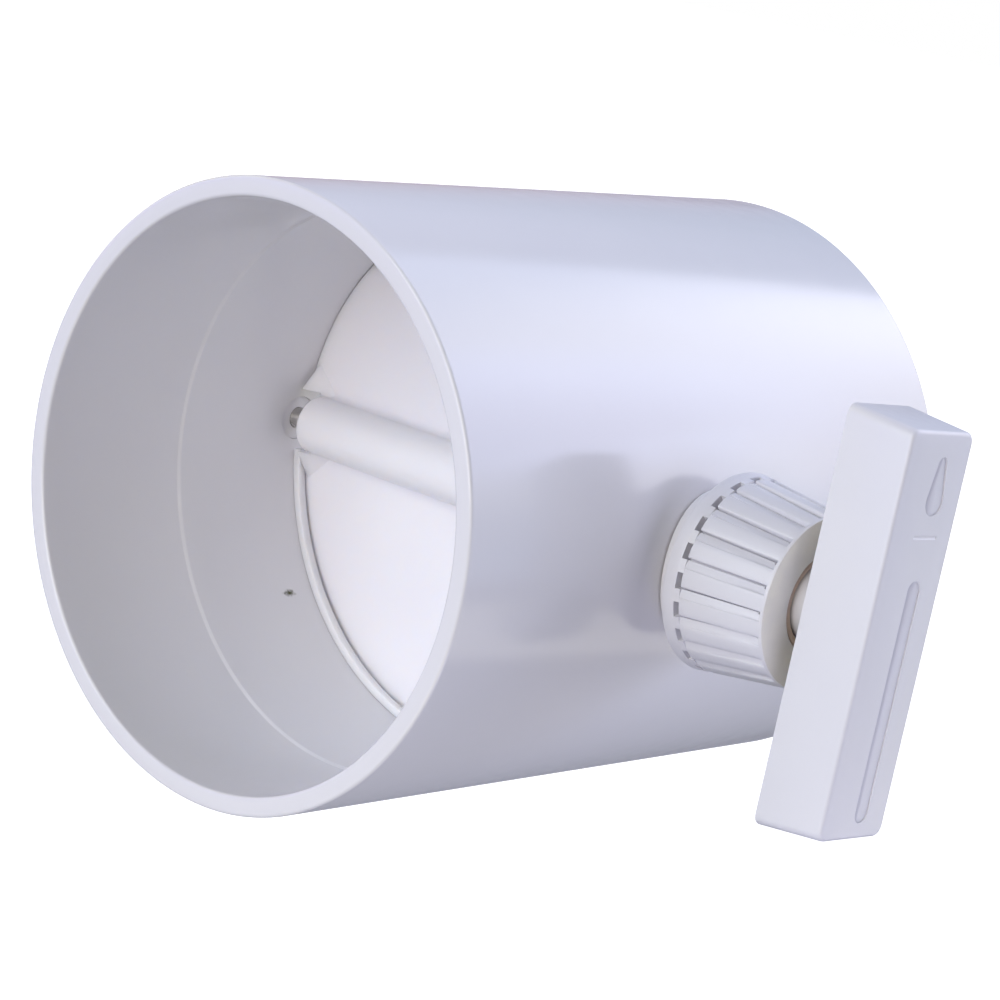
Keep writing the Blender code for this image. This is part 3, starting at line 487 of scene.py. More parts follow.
def skin(loops: Sequence[Sequence[Vector]], tube: bool = False) -> Skin:
    """Skin equal loops of points.

    Args:
        loops: The loops, in order.
        tube: Whether the last loop joins the first; otherwise both ends are capped.

    Returns:
        The closed skin.
    """
    bm = bmesh.new()
    rings = [[bm.verts.new(point) for point in loop] for loop in loops]
    count = len(rings[0])
    pairs = list(zip(rings, rings[1:]))
    if tube:
        pairs.append((rings[-1], rings[0]))
    for low, high in pairs:
        for i in range(count):
            j = (i + 1) % count
            bm.faces.new((low[i], low[j], high[j], high[i]))
    if not tube:
        bm.faces.new(rings[0])
        bm.faces.new(rings[-1])
    return bm


def lathe(profile: Sequence[Point], line: Line, segments: int, tube: bool = True) -> Skin:
    """Turn a profile about a line.

    Args:
        profile: Points (along, radius).
        line: The line.
        segments: Facets round the turn.
        tube: Whether the profile closes on itself; otherwise its ends are flat caps.

    Returns:
        The closed body.
    """
    turns = [FULL_TURN * i / segments for i in range(segments)]
    return skin([[on_line(line, along, radius, a) for a in turns] for along, radius in profile], tube)


def shade(mesh: bpy.types.Mesh, sharp: float = SMOOTH_BELOW) -> None:
    """Shade a mesh smooth, but for the edges that are sharper than an angle in degrees."""
    mesh.shade_smooth()
    mesh.set_sharp_from_angle(angle=math.radians(sharp))


def to_object(name: str, bm: Skin, material: Material | None = None, place: Matrix | None = None) -> Piece:
    """Make an object of a closed mesh, faces outwards, smooth but for sharp edges.

    Args:
        name: The piece's name.
        bm: The mesh, which is used up.
        material: Its finish.
        place: Where the mesh goes; the object stays at the origin.

    Returns:
        The object.
    """
    if place is not None:
        bm.transform(place)
    bmesh.ops.recalc_face_normals(bm, faces=bm.faces)
    mesh = bpy.data.meshes.new(name)
    bm.to_mesh(mesh)
    bm.free()
    shade(mesh)
    obj = bpy.data.objects.new(name, mesh)
    bpy.context.scene.collection.objects.link(obj)
    if material is not None:
        mesh.materials.append(material)
    return obj


def bake(obj: Piece, sharp: float = SMOOTH_BELOW) -> None:
    """Turn an object's evaluated modifiers into its plain mesh.

    Args:
        obj: The object.
        sharp: The angle in degrees from which an edge is sharp.
    """
    bpy.context.view_layer.update()
    graph = bpy.context.evaluated_depsgraph_get()
    mesh = bpy.data.meshes.new_from_object(
        obj.evaluated_get(graph), preserve_all_data_layers=True, depsgraph=graph)
    mesh.name = obj.name
    obj.modifiers.clear()
    obj.data = mesh
    shade(mesh, sharp)


def combine(obj: Piece, tool: Piece, cut: Cut) -> None:
    """Combine an object with a tool, which is used up.

    Args:
        obj: The object that changes.
        tool: The solid added or removed.
        cut: Which of the two.
    """
    modifier = obj.modifiers.new(tool.name, "BOOLEAN")
    modifier.operation = cut.value
    modifier.solver = "EXACT"
    modifier.object = tool
    bake(obj)
    bpy.data.objects.remove(tool, do_unlink=True)


def turn_into(obj: Piece, name: str, profile: Sequence[Point], line: Line, segments: int,
              cut: Cut = Cut.REMOVE, place: Matrix | None = None) -> None:
    """Turn a tool with flat ends and combine it with an object.

    Args:
        obj: The object that changes.
        name: The tool's name.
        profile: Points (along, radius).
        line: The line that the tool is turned about.
        segments: Facets round the turn.
        cut: Whether the tool is added or removed.
        place: Where the tool goes.
    """
    combine(obj, to_object(name, lathe(profile, line, segments, tube=False), place=place), cut)


def drill(obj: Piece, name: str, start: float, end: float, radius: float, segments: int,
          line: Line = Line.SHAFT, place: Matrix | None = None) -> None:
    """Drill a round hole in an object.

    Args:
        obj: The object that is drilled.
        name: The drill's name.
        start: Where the hole starts along its line.
        end: Where it ends.
        radius: Its radius.
        segments: Facets round the hole.
        line: The line that the hole follows.
        place: Where the drill goes.
    """
    turn_into(obj, name, [(start, radius), (end, radius)], line, segments, place=place)


def slab(name: str, low: Sequence[float], high: Sequence[float]) -> Piece:
    """Make a box between two corners, as a tool.

    Args:
        name: The tool's name.
        low: The lowest corner.
        high: The highest corner.

    Returns:
        The box.
    """
    bm = bmesh.new()
    bmesh.ops.create_cube(bm, size=1.0)
    size = Vector(high) - Vector(low)
    bmesh.ops.scale(bm, vec=size, verts=bm.verts)
    bmesh.ops.translate(bm, vec=(Vector(high) + Vector(low)) / 2, verts=bm.verts)
    return to_object(name, bm)


def seat(obj: Piece, body: str, slot: str, *nodes: str) -> None:
    """Let a piece ride on its body and stand for its solids.

    Args:
        obj: The finished piece.
        body: The body it moves with.
        slot: Not used.
        nodes: The CAD nodes it replaces.
    """
    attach(obj, body)
    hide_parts(*nodes)
    LOG.info("%s on %s for %s: %d faces", obj.name, body, ", ".join(nodes), len(obj.data.polygons))


# Node trees for what repeats


def geometry_tree(name: str, sockets: Sequence[tuple[str, str]]) -> tuple[Tree, bpy.types.Node]:
    """Start a geometry tree with named inputs.

    Args:
        name: The tree's name.
        sockets: Names and socket types, after the geometry.

    Returns:
        The tree and its input node.
    """
    tree = bpy.data.node_groups.new(name, "GeometryNodeTree")
    tree.interface.new_socket("Geometry", in_out="INPUT", socket_type="NodeSocketGeometry")
    for label, kind in sockets:
        tree.interface.new_socket(label, in_out="INPUT", socket_type=kind)
    tree.interface.new_socket("Geometry", in_out="OUTPUT", socket_type="NodeSocketGeometry")
    return tree, add_node(tree, "NodeGroupInput")


def run_tree(obj: Piece, tree: Tree, values: dict[str, object], sharp: float = SMOOTH_BELOW) -> None:
    """Run a geometry tree on an object and keep the plain mesh.

    Args:
        obj: The object that carries the modifier.
        tree: The tree.
        values: Input name to its value.
        sharp: The angle in degrees from which an edge is sharp.
    """
    material = obj.data.materials[0]
    modifier = obj.modifiers.new(tree.name, "NODES")
    modifier.node_group = tree
    for item in tree.interface.items_tree:
        if item.item_type == "SOCKET" and item.in_out == "INPUT" and item.name in values:
            modifier[item.identifier] = values[item.name]
    bake(obj, sharp)
    obj.data.materials.clear()
    obj.data.materials.append(material)


def close_tree(tree: Tree, instances: Socket, material: Material, merge: float) -> None:
    """End a tree: realize its instances, merge what meets and set the material.

    Args:
        tree: The tree.
        instances: The socket that carries the instances.
        material: The material.
        merge: The merging distance.
    """
    real = add_node(tree, "GeometryNodeRealizeInstances", None, {0: instances})
    joined = add_node(tree, "GeometryNodeMergeByDistance", None, {0: real.outputs[0], "Distance": merge})
    dressed = add_node(tree, "GeometryNodeSetMaterial", None, {0: joined.outputs[0], "Material": material})
    add_node(tree, "NodeGroupOutput", None, {0: dressed.outputs[0]})


def repeat_along(obj: Piece, count: int, step: Triple, start: Triple) -> None:
    """Repeat an object's mesh along a line with a node tree.

    Args:
        obj: The object.
        count: How many there are.
        step: From one to the next.
        start: Where the first one goes.
    """
    tree, given = geometry_tree("row_of_" + obj.name, (
        ("Count", "NodeSocketInt"), ("Step", "NodeSocketVector"), ("Start", "NodeSocketVector")))
    row = add_node(tree, "GeometryNodeMeshLine", {"mode": "OFFSET"}, {
        "Count": given.outputs["Count"], "Start Location": given.outputs["Start"],
        "Offset": given.outputs["Step"]})
    placed = add_node(tree, "GeometryNodeInstanceOnPoints", None, {
        "Points": row.outputs["Mesh"], "Instance": given.outputs["Geometry"]})
    close_tree(tree, placed.outputs["Instances"], obj.data.materials[0], 0.001 * MM)
    run_tree(obj, tree, {"Count": count, "Step": step, "Start": start})


def repeat_round(obj: Piece, count: int, sharp: float) -> None:
    """Repeat an object's mesh round the shaft line with a node tree and weld the seams.

    Args:
        obj: The object, one sector wide.
        count: How many sectors make the round.
        sharp: The angle in degrees from which an edge is sharp.
    """
    tree, given = geometry_tree("round_of_" + obj.name, (("Sectors", "NodeSocketInt"),))
    sectors = given.outputs["Sectors"]
    row = add_node(tree, "GeometryNodeMeshLine", {"mode": "OFFSET"}, {
        "Count": sectors, "Offset": (0.0, 0.0, 0.0)})
    pitch = add_node(tree, "ShaderNodeMath", {"operation": "DIVIDE"}, {0: FULL_TURN, 1: sectors})
    index = add_node(tree, "GeometryNodeInputIndex")
    angle = add_node(tree, "ShaderNodeMath", {"operation": "MULTIPLY"}, {
        0: index.outputs[0], 1: pitch.outputs[0]})
    euler = add_node(tree, "ShaderNodeCombineXYZ", None, {"X": angle.outputs[0]})
    turn = add_node(tree, "FunctionNodeEulerToRotation", None, {0: euler.outputs[0]})
    placed = add_node(tree, "GeometryNodeInstanceOnPoints", None, {
        "Points": row.outputs["Mesh"], "Instance": given.outputs["Geometry"],
        "Rotation": turn.outputs[0]})
    close_tree(tree, placed.outputs["Instances"], obj.data.materials[0], 0.004 * MM)
    run_tree(obj, tree, {"Sectors": count}, sharp)


# What the sub-assemblies share


@dataclass(frozen=True)
class ShaftLine:
    """The line that blade, lever and nut turn about, with the angles at which they stand at rest."""

    along: float = 63.1 * MM
    blade_turn: float = 1.3
    lever_turn: float = -3.3

    def matrix(self, degrees: float = 0.0) -> Matrix:
        """Place a piece that is built about the shaft line, turned by degrees."""
        turn = Matrix.Rotation(math.radians(degrees), 4, "X")
        return Matrix.Translation((0.0, self.along, 0.0)) @ turn


@dataclass
class Assembly:
    """The finishes, the shaft line and the sizes at which sub-assemblies meet."""

    finishes: Finishes
    shaft: ShaftLine
    pipe_radius: float = 55.0 * MM
    pipe_gap: float = 0.3 * MM
    shaft_hole: float = 4.3 * MM
    square_from: float = 84.0 * MM
    screws: Point = (22.0 * MM, 38.0 * MM)
    screw_hole: float = 1.8 * MM

    def stand(self, obj: Piece, turn: float, body: str, slot: str, *nodes: str) -> None:
        """Bring a piece that is built about the shaft line to its place, and seat it.

        Args:
            obj: The piece.
            turn: How far it is turned about the shaft line, in degrees.
            body: The body it moves with.
            slot: Passed on to seat.
            nodes: The CAD nodes it replaces.
        """
        obj.data.transform(self.shaft.matrix(turn))
        seat(obj, body, slot, *nodes)


def ring(name: str, finish: Finish, shaft: ShaftLine, sizes: Quad, body: str, slot: str, node: str,
         easing: float = 0.2 * MM) -> None:
    """Turn a plain ring about the shaft line and seat it.

    Args:
        name: The piece's name.
        finish: Its finish.
        shaft: The shaft line.
        sizes: Start, end, inner and outer radius.
        body: The body it rides on.
        slot: Passed on to seat.
        node: The CAD node it stands for.
        easing: The rounding of its edges.
    """
    start, end, inner, outer = sizes
    profile = eased([(start, inner), (start, outer), (end, outer), (end, inner)], easing)
    seat(to_object(name, lathe(profile, Line.SHAFT, Facets.RING), finish.build(), shaft.matrix()),
         body, slot, node)


def hollow_to_pipe(obj: Piece, radius: float) -> None:
    """Hollow a flange's underside to the pipe, while it is still built about the shaft line.

    Args:
        obj: The flange.
        radius: The pipe's radius with its clearance.
    """
    drill(obj, "pipe_round", -40 * MM, 40 * MM, radius, Facets.PIPE, Line.DUCT)


@dataclass
class Piping(Assembly):
    """The pipe and the two half rings glued in its bore."""

    socket: float = 51.4 * MM
    bore: float = 51.0 * MM
    length: float = 130.0 * MM
    socket_depth: float = 33.0 * MM
    rim_rounding: float = 0.7 * MM
    step_rounding: float = 0.12 * MM
    step_slope: float = 0.3 * MM
    gland_hole: float = 9.3 * MM
    pivot_hole: float = 4.3 * MM
    rib_inner: float = 49.3 * MM
    rib_outer: float = 50.98 * MM
    rib_front: float = 62.8 * MM
    rib_back: float = 67.5 * MM
    rib_width: float = 1.9 * MM
    rib_rounding: float = 0.32 * MM
    rib_end: float = 6.2 * MM

    def build_pipe(self) -> None:
        """Turn the pipe with its two shallow sockets and drill the two holes."""
        half = [
            (0.0, self.pipe_radius),
            (0.0, self.socket),
            (self.socket_depth - self.step_slope, self.socket),
            (self.socket_depth + self.step_slope, self.bore),
        ]
        corners = half + [(self.length - y, r) for y, r in reversed(half)]
        # The rims are rounded freely, and the step inside keeps a tight corner
        margin = self.rim_rounding * 1.5
        profile = [
            (y, r) for y, r in eased(corners, self.rim_rounding, 4)
            if r >= self.pipe_radius or not margin < y < self.length - margin]
        far = next(i for i, (y, r) in enumerate(profile) if y > self.length / 2 and r < self.pipe_radius)
        profile[far:far] = eased(corners[1:-1], self.step_rounding, 2, closed=False)[1:-1]
        pipe = to_object("extruded_pipe", lathe(profile, Line.DUCT, Facets.PIPE),
                         self.finishes.pipe.build())
        for name, side, hole in (("gland_drill", 1, self.gland_hole), ("pivot_drill", -1, self.pivot_hole)):
            drill(pipe, name, side * self.bore * 0.9, side * self.pipe_radius * 1.05, hole, Facets.HOLE,
                  place=self.shaft.matrix())
        seat(pipe, "duct", "pipe_pvc", "duct_pipe")

    def build_half_ring(self, name: str, front: float, upper: bool, finish: Finish, node: str) -> None:
        """Sweep one stop rib along half of the bore.

        Args:
            name: The piece's name.
            front: Its inlet side along the duct.
            upper: Whether it is the upper half.
            finish: Its finish.
            node: The CAD node it stands for.
        """
        back = front + self.rib_width
        section = eased([
            (front, self.rib_outer), (front, self.rib_inner),
            (back, self.rib_inner), (back, self.rib_outer)], self.rib_rounding)
        lift = math.asin(self.rib_end / self.rib_outer)
        start = lift if upper else math.pi + lift
        steps = Facets.PIPE // 2
        turns = [start + (math.pi - 2 * lift) * i / steps for i in range(steps + 1)]
        loops = [[on_line(Line.DUCT, y, r, angle) for y, r in section] for angle in turns]
        seat(to_object(name, skin(loops), finish.build()), "duct", "pipe_pvc", node)

    def build(self) -> None:
        """Build the pipe and both half rings."""
        self.build_pipe()
        for side, place, upper, finish in (
            ("front", self.rib_front, False, self.finishes.welded_pvc),
            ("rear", self.rib_back, True, self.finishes.blade),
        ):
            self.build_half_ring(side + "_half_ring", place, upper, finish, side + "_stop_rib")


@dataclass
class Blade(Assembly):
    """The disc with its sleeve, wedges, end notches and screws."""

    radius: float = 50.8 * MM
    front: float = 1.7 * MM
    thickness: float = 2.5 * MM
    edge: float = 0.16 * MM
    edge_waist: float = 0.3
    sharp: float = 20.0
    sleeve: float = 5.65 * MM
    sleeve_half: float = 46.0 * MM
    sleeve_overlap: float = 0.2 * MM
    sleeve_round: float = 0.8 * MM
    easing_over: float = 0.02 * MM
    easing_past: float = 0.3 * MM
    fillet: float = 1.2 * MM
    notch_half: float = 6.2 * MM
    wedge_height: float = 3.2 * MM
    wedge_length: float = 6.5 * MM
    wedge_width: float = 5.2 * MM
    wedge_limits: Point = (50.0 * MM, 49.0 * MM)
    shaft_floor: float = 14.7 * MM
    pin_hole: float = 2.3 * MM
    pin_floor: float = 32.7 * MM
    past: float = 3 * MM
    screw_seat: float = 5.0 * MM
    screw_gap: float = 0.3 * MM
    screw_head: float = 2.75 * MM
    screw_head_height: float = 1.8 * MM
    screw_shank: float = 1.5 * MM
    recess_half: float = 0.4 * MM
    recess_reach: float = 1.5 * MM
    recess_depth: float = 1.0 * MM

    def sleeve_outline(self) -> list[Point]:
        """Draw the sleeve's section with its fillets to the disc.

        Returns:
            Points (y, z) about the shaft line.
        """
        root = self.front - self.fillet
        height = math.sqrt((self.sleeve + self.fillet) ** 2 - root ** 2)
        sunk = self.front + self.thickness * 0.2
        contact = math.atan2(height, root)
        waist = math.acos(sunk / self.sleeve)

        def arc(cy: float, cz: float, r: float, start: float, end: float, steps: int) -> list[Point]:
            """Points on an arc, both ends included."""
            turns = [start + (end - start) * i / steps for i in range(steps + 1)]
            return [(cy + r * math.cos(a), cz + r * math.sin(a)) for a in turns]

        upper = arc(root, height, self.fillet, 0.0, contact - math.pi, 10)
        face = arc(0.0, 0.0, self.sleeve, contact, FULL_TURN - contact, 48)[1:-1]
        lower = [(y, -z) for y, z in reversed(upper)]
        back = arc(0.0, 0.0, self.sleeve, -waist, waist, 32)
        return [(sunk, height)] + upper + face + lower + [(sunk, -height)] + back

    def wedge(self, side: int, upper: bool) -> Piece:
        """Make one wedge between disc and sleeve end.

        Args:
            side: 1 at the lever's side, -1 at the far side.
            upper: Whether it lies above the sleeve.

        Returns:
            The wedge as a tool.
        """
        limit = self.wedge_limits[0 if upper else 1]
        sunk = self.front + self.thickness * 0.3
        loops = []
        for z in (self.sleeve * 0.9, self.notch_half + self.wedge_width):
            outer = math.sqrt(limit ** 2 - z ** 2)
            height = sunk - self.front + self.wedge_height * (1 - (z - self.notch_half) / self.wedge_width)
            inner = outer - height * self.wedge_length / self.wedge_height
            place = z if upper else -z
            loops.append([
                Vector((side * outer, sunk, place)),
                Vector((side * outer, sunk - height, place)),
                Vector((side * inner, sunk, place)),
            ])
        return to_object("wedge", skin(loops))

    def build_disc(self) -> None:
        """Build the blade as one body."""
        corner = [
            (0.0, self.radius - self.edge),
            (self.edge * self.edge_waist, self.radius - self.edge * self.edge_waist),
            (self.edge, self.radius),
        ]
        back = self.front + self.thickness
        profile = [(self.front + y, r) for y, r in corner] + [(back - y, r) for y, r in reversed(corner)]
        disc = to_object("moulded_blade", lathe(profile, Line.DUCT, Facets.DISC, tube=False),
                         self.finishes.blade.build())
        tip = self.sleeve_half + self.sleeve_overlap
        loops = [[Vector((x, y, z)) for y, z in self.sleeve_outline()] for x in (-tip, tip)]
        combine(disc, to_object("sleeve", skin(loops)), Cut.ADD)
        for side in (-1, 1):
            for upper in (True, False):
                combine(disc, self.wedge(side, upper), Cut.ADD)
            self.cut_notch(disc, side)
        drill(disc, "shaft_bore", self.shaft_floor, tip + PAST, self.shaft_hole, Facets.PIN)
        drill(disc, "pin_bore", -tip - PAST, -self.pin_floor, self.pin_hole, Facets.PIN)
        counterbore = self.screw_head + self.screw_gap
        for place in self.screws:
            turn_into(disc, "screw_seat", [
                (2 * MM, self.screw_hole), (self.screw_seat, self.screw_hole),
                (self.screw_seat, counterbore), (8 * MM, counterbore),
            ], Line.DUCT, Facets.SCREW, place=Matrix.Translation((place, 0.0, 0.0)))
        shade(disc.data, self.sharp)
        self.stand(disc, self.shaft.blade_turn, "blade_assembly", "blade_pvc", "damper_blade")

    def cut_notch(self, disc: Piece, side: int) -> None:
        """Cut one rectangular notch past the sleeve's end and ease the sleeve's edge there.

        Args:
            disc: The blade.
            side: 1 at the lever's side, -1 at the far side.
        """
        ends = sorted((side * self.sleeve_half, side * (self.radius + self.past)))
        low = (ends[0], self.front - self.wedge_height - self.past, -self.notch_half)
        high = (ends[1], self.front + self.thickness + self.past, self.notch_half)
        combine(disc, slab("notch", low, high), Cut.REMOVE)
        outside = self.sleeve + self.easing_over
        end = self.sleeve_half + self.easing_past
        easing = [
            (side * (self.sleeve_half - self.sleeve_round), outside),
            (side * end, outside),
            (side * end, self.sleeve - self.sleeve_round * 1.25),
            (side * (self.sleeve_half - self.sleeve_round * 0.3), self.sleeve - self.sleeve_round * 0.35),
        ]
        combine(disc, to_object("sleeve_easing", lathe(easing, Line.SHAFT, Facets.RING)), Cut.REMOVE)

    def build_screws(self) -> None:
        """Place the two pan-head screws from the blade's back with a node tree."""
        head = self.screw_seat + self.screw_gap
        top = head + self.screw_head_height
        profile = [
            (-1.8 * MM, self.screw_shank * 0.7), (-1.3 * MM, self.screw_shank), (head, self.screw_shank),
            (head, self.screw_head), (top - 0.9 * MM, self.screw_head),
            (top - 0.35 * MM, self.screw_head * 0.9), (top, self.screw_head * 0.68),
        ]
        outline = eased(profile, 0.12 * MM, 2, closed=False)
        screw = to_object("pan_head_screws", lathe(outline, Line.DUCT, Facets.SCREW, tube=False),
                          self.finishes.steel.build())
        for turn in (45, 135):
            cross = slab("cross_recess", (-self.recess_half, top - self.recess_depth, -self.recess_reach),
                         (self.recess_half, top + 1 * MM, self.recess_reach))
            cross.data.transform(Matrix.Rotation(math.radians(turn), 4, "Y"))
            combine(screw, cross, Cut.REMOVE)
        first, second = self.screws
        repeat_along(screw, 2, (second - first, 0.0, 0.0), (first, 0.0, 0.0))
        self.stand(screw, self.shaft.blade_turn, "blade_assembly", "steel",
                   "blade_screw_inner", "blade_screw_outer")

    def build(self) -> None:
        """Build the blade and its screws."""
        self.build_disc()
        self.build_screws()


@dataclass
class Drive(Assembly):
    """The shaft, its spacer, and the pivot pin with washer and bush at the far side."""

    radius: float = 4.0 * MM
    start: float = 15.0 * MM
    end: float = 93.3 * MM
    chamfer: float = 0.5 * MM
    square: float = 6.0 * MM
    spacer: Quad = (46.3 * MM, 50.9 * MM, 4.3 * MM, 5.65 * MM)
    pin: float = 2.0 * MM
    pin_tip: float = 33.0 * MM
    pin_chamfer: float = 0.4 * MM
    head_from: float = 58.2 * MM
    head: float = 3.9 * MM
    head_height: float = 2.2 * MM
    slot_half: float = 0.4 * MM
    slot_depth: float = 0.8 * MM
    washer: Quad = (-57.9 * MM, -57.1 * MM, 2.3 * MM, 4.8 * MM)
    bush_body: float = 4.24 * MM
    bush_flange: float = 7.5 * MM
    bush_end: float = 56.8 * MM
    bush_inner: float = 51.2 * MM
    bush_bore: float = 2.1 * MM

    def build_shaft(self) -> None:
        """Build the steel shaft, round to the lever and square in its hub."""
        turns = [FULL_TURN * i / Facets.RING for i in range(Facets.RING)]
        half = self.square / 2

        def reach(angle: float, inset: float) -> float:
            """The square's reach at an angle, within the round."""
            flat = half / max(abs(math.cos(angle)), abs(math.sin(angle)))
            return min(self.radius, flat) - inset

        loops = []
        for x, radius in (
            (self.start, self.radius - self.chamfer),
            (self.start + self.chamfer, self.radius),
            (self.square_from, self.radius),
        ):
            loops.append([on_line(Line.SHAFT, x, radius, a) for a in turns])
        for x, inset in ((self.square_from + 0.05 * MM, 0.0), (self.end - self.chamfer, 0.0),
                         (self.end, self.chamfer)):
            loops.append([on_line(Line.SHAFT, x, reach(a, inset), a) for a in turns])
        shaft = to_object("turned_shaft", skin(loops), self.finishes.steel.build())
        # The cross holes face the blade's back, and the square faces the lever
        to_blade = Matrix.Rotation(math.radians(self.shaft.blade_turn - self.shaft.lever_turn), 4, "X")
        for place in self.screws:
            drill(shaft, "cross_drill", -2.1 * MM, 6 * MM, self.screw_hole, Facets.CROSS_HOLE, Line.DUCT,
                  to_blade @ Matrix.Translation((place, 0.0, 0.0)))
        self.stand(shaft, self.shaft.lever_turn, "blade_assembly", "steel", "drive_shaft")

    def build_pin(self) -> None:
        """Build the far pin with its slotted head."""
        top = self.head_from + self.head_height
        profile = eased([
            (-self.pin_tip, self.pin - self.pin_chamfer), (-self.pin_tip - self.pin_chamfer, self.pin),
            (-self.head_from, self.pin), (-self.head_from, self.head), (-top + 0.7 * MM, self.head),
            (-top + 0.2 * MM, self.head * 0.9), (-top, self.head * 0.72),
        ], 0.12 * MM, 2, closed=False)
        pin = to_object("slotted_pivot_pin", lathe(profile, Line.SHAFT, Facets.PIN, tube=False),
                        self.finishes.steel.build())
        slot = slab("driver_slot", (-top - 1 * MM, -self.slot_half, -6 * MM),
                    (-top + self.slot_depth, self.slot_half, 6 * MM))
        combine(pin, slot, Cut.REMOVE)
        self.stand(pin, self.shaft.blade_turn, "blade_assembly", "steel", "pivot_pin")

    def build_bush(self) -> None:
        """Build the flanged bush, hollowed to the pipe's round."""
        flange = eased([
            (-(self.pipe_radius - PAST), self.bush_flange),
            (-(self.bush_end - 0.5 * MM), self.bush_flange),
            (-self.bush_end, self.bush_flange - 0.6 * MM),
        ], 0.3 * MM, closed=False)
        bush = to_object("flanged_bush", lathe(flange, Line.SHAFT, Facets.RING, tube=False),
                         self.finishes.abs_satin.build())
        hollow_to_pipe(bush, self.pipe_radius + self.pipe_gap)
        turn_into(bush, "bush_body", [
            (-self.bush_inner, self.bush_body), (-(self.pipe_radius + 0.9 * MM), self.bush_body),
        ], Line.SHAFT, Facets.HOLE, Cut.ADD)
        drill(bush, "bush_bore", PAST - self.bush_inner, -self.bush_end - PAST, self.bush_bore, Facets.PIN)
        self.stand(bush, 0.0, "duct", "moulded_white", "pivot_bush")

    def build(self) -> None:
        """Build shaft, spacer, pin, washer and bush."""
        self.build_shaft()
        self.build_pin()
        for name, sizes, node in (("nylon_washer", self.washer, "pivot_washer"),
                                  ("spacer_sleeve", self.spacer, "shaft_spacer")):
            ring(name, self.finishes.acetal, self.shaft, sizes, "blade_assembly", "acetal", node)
        self.build_bush()


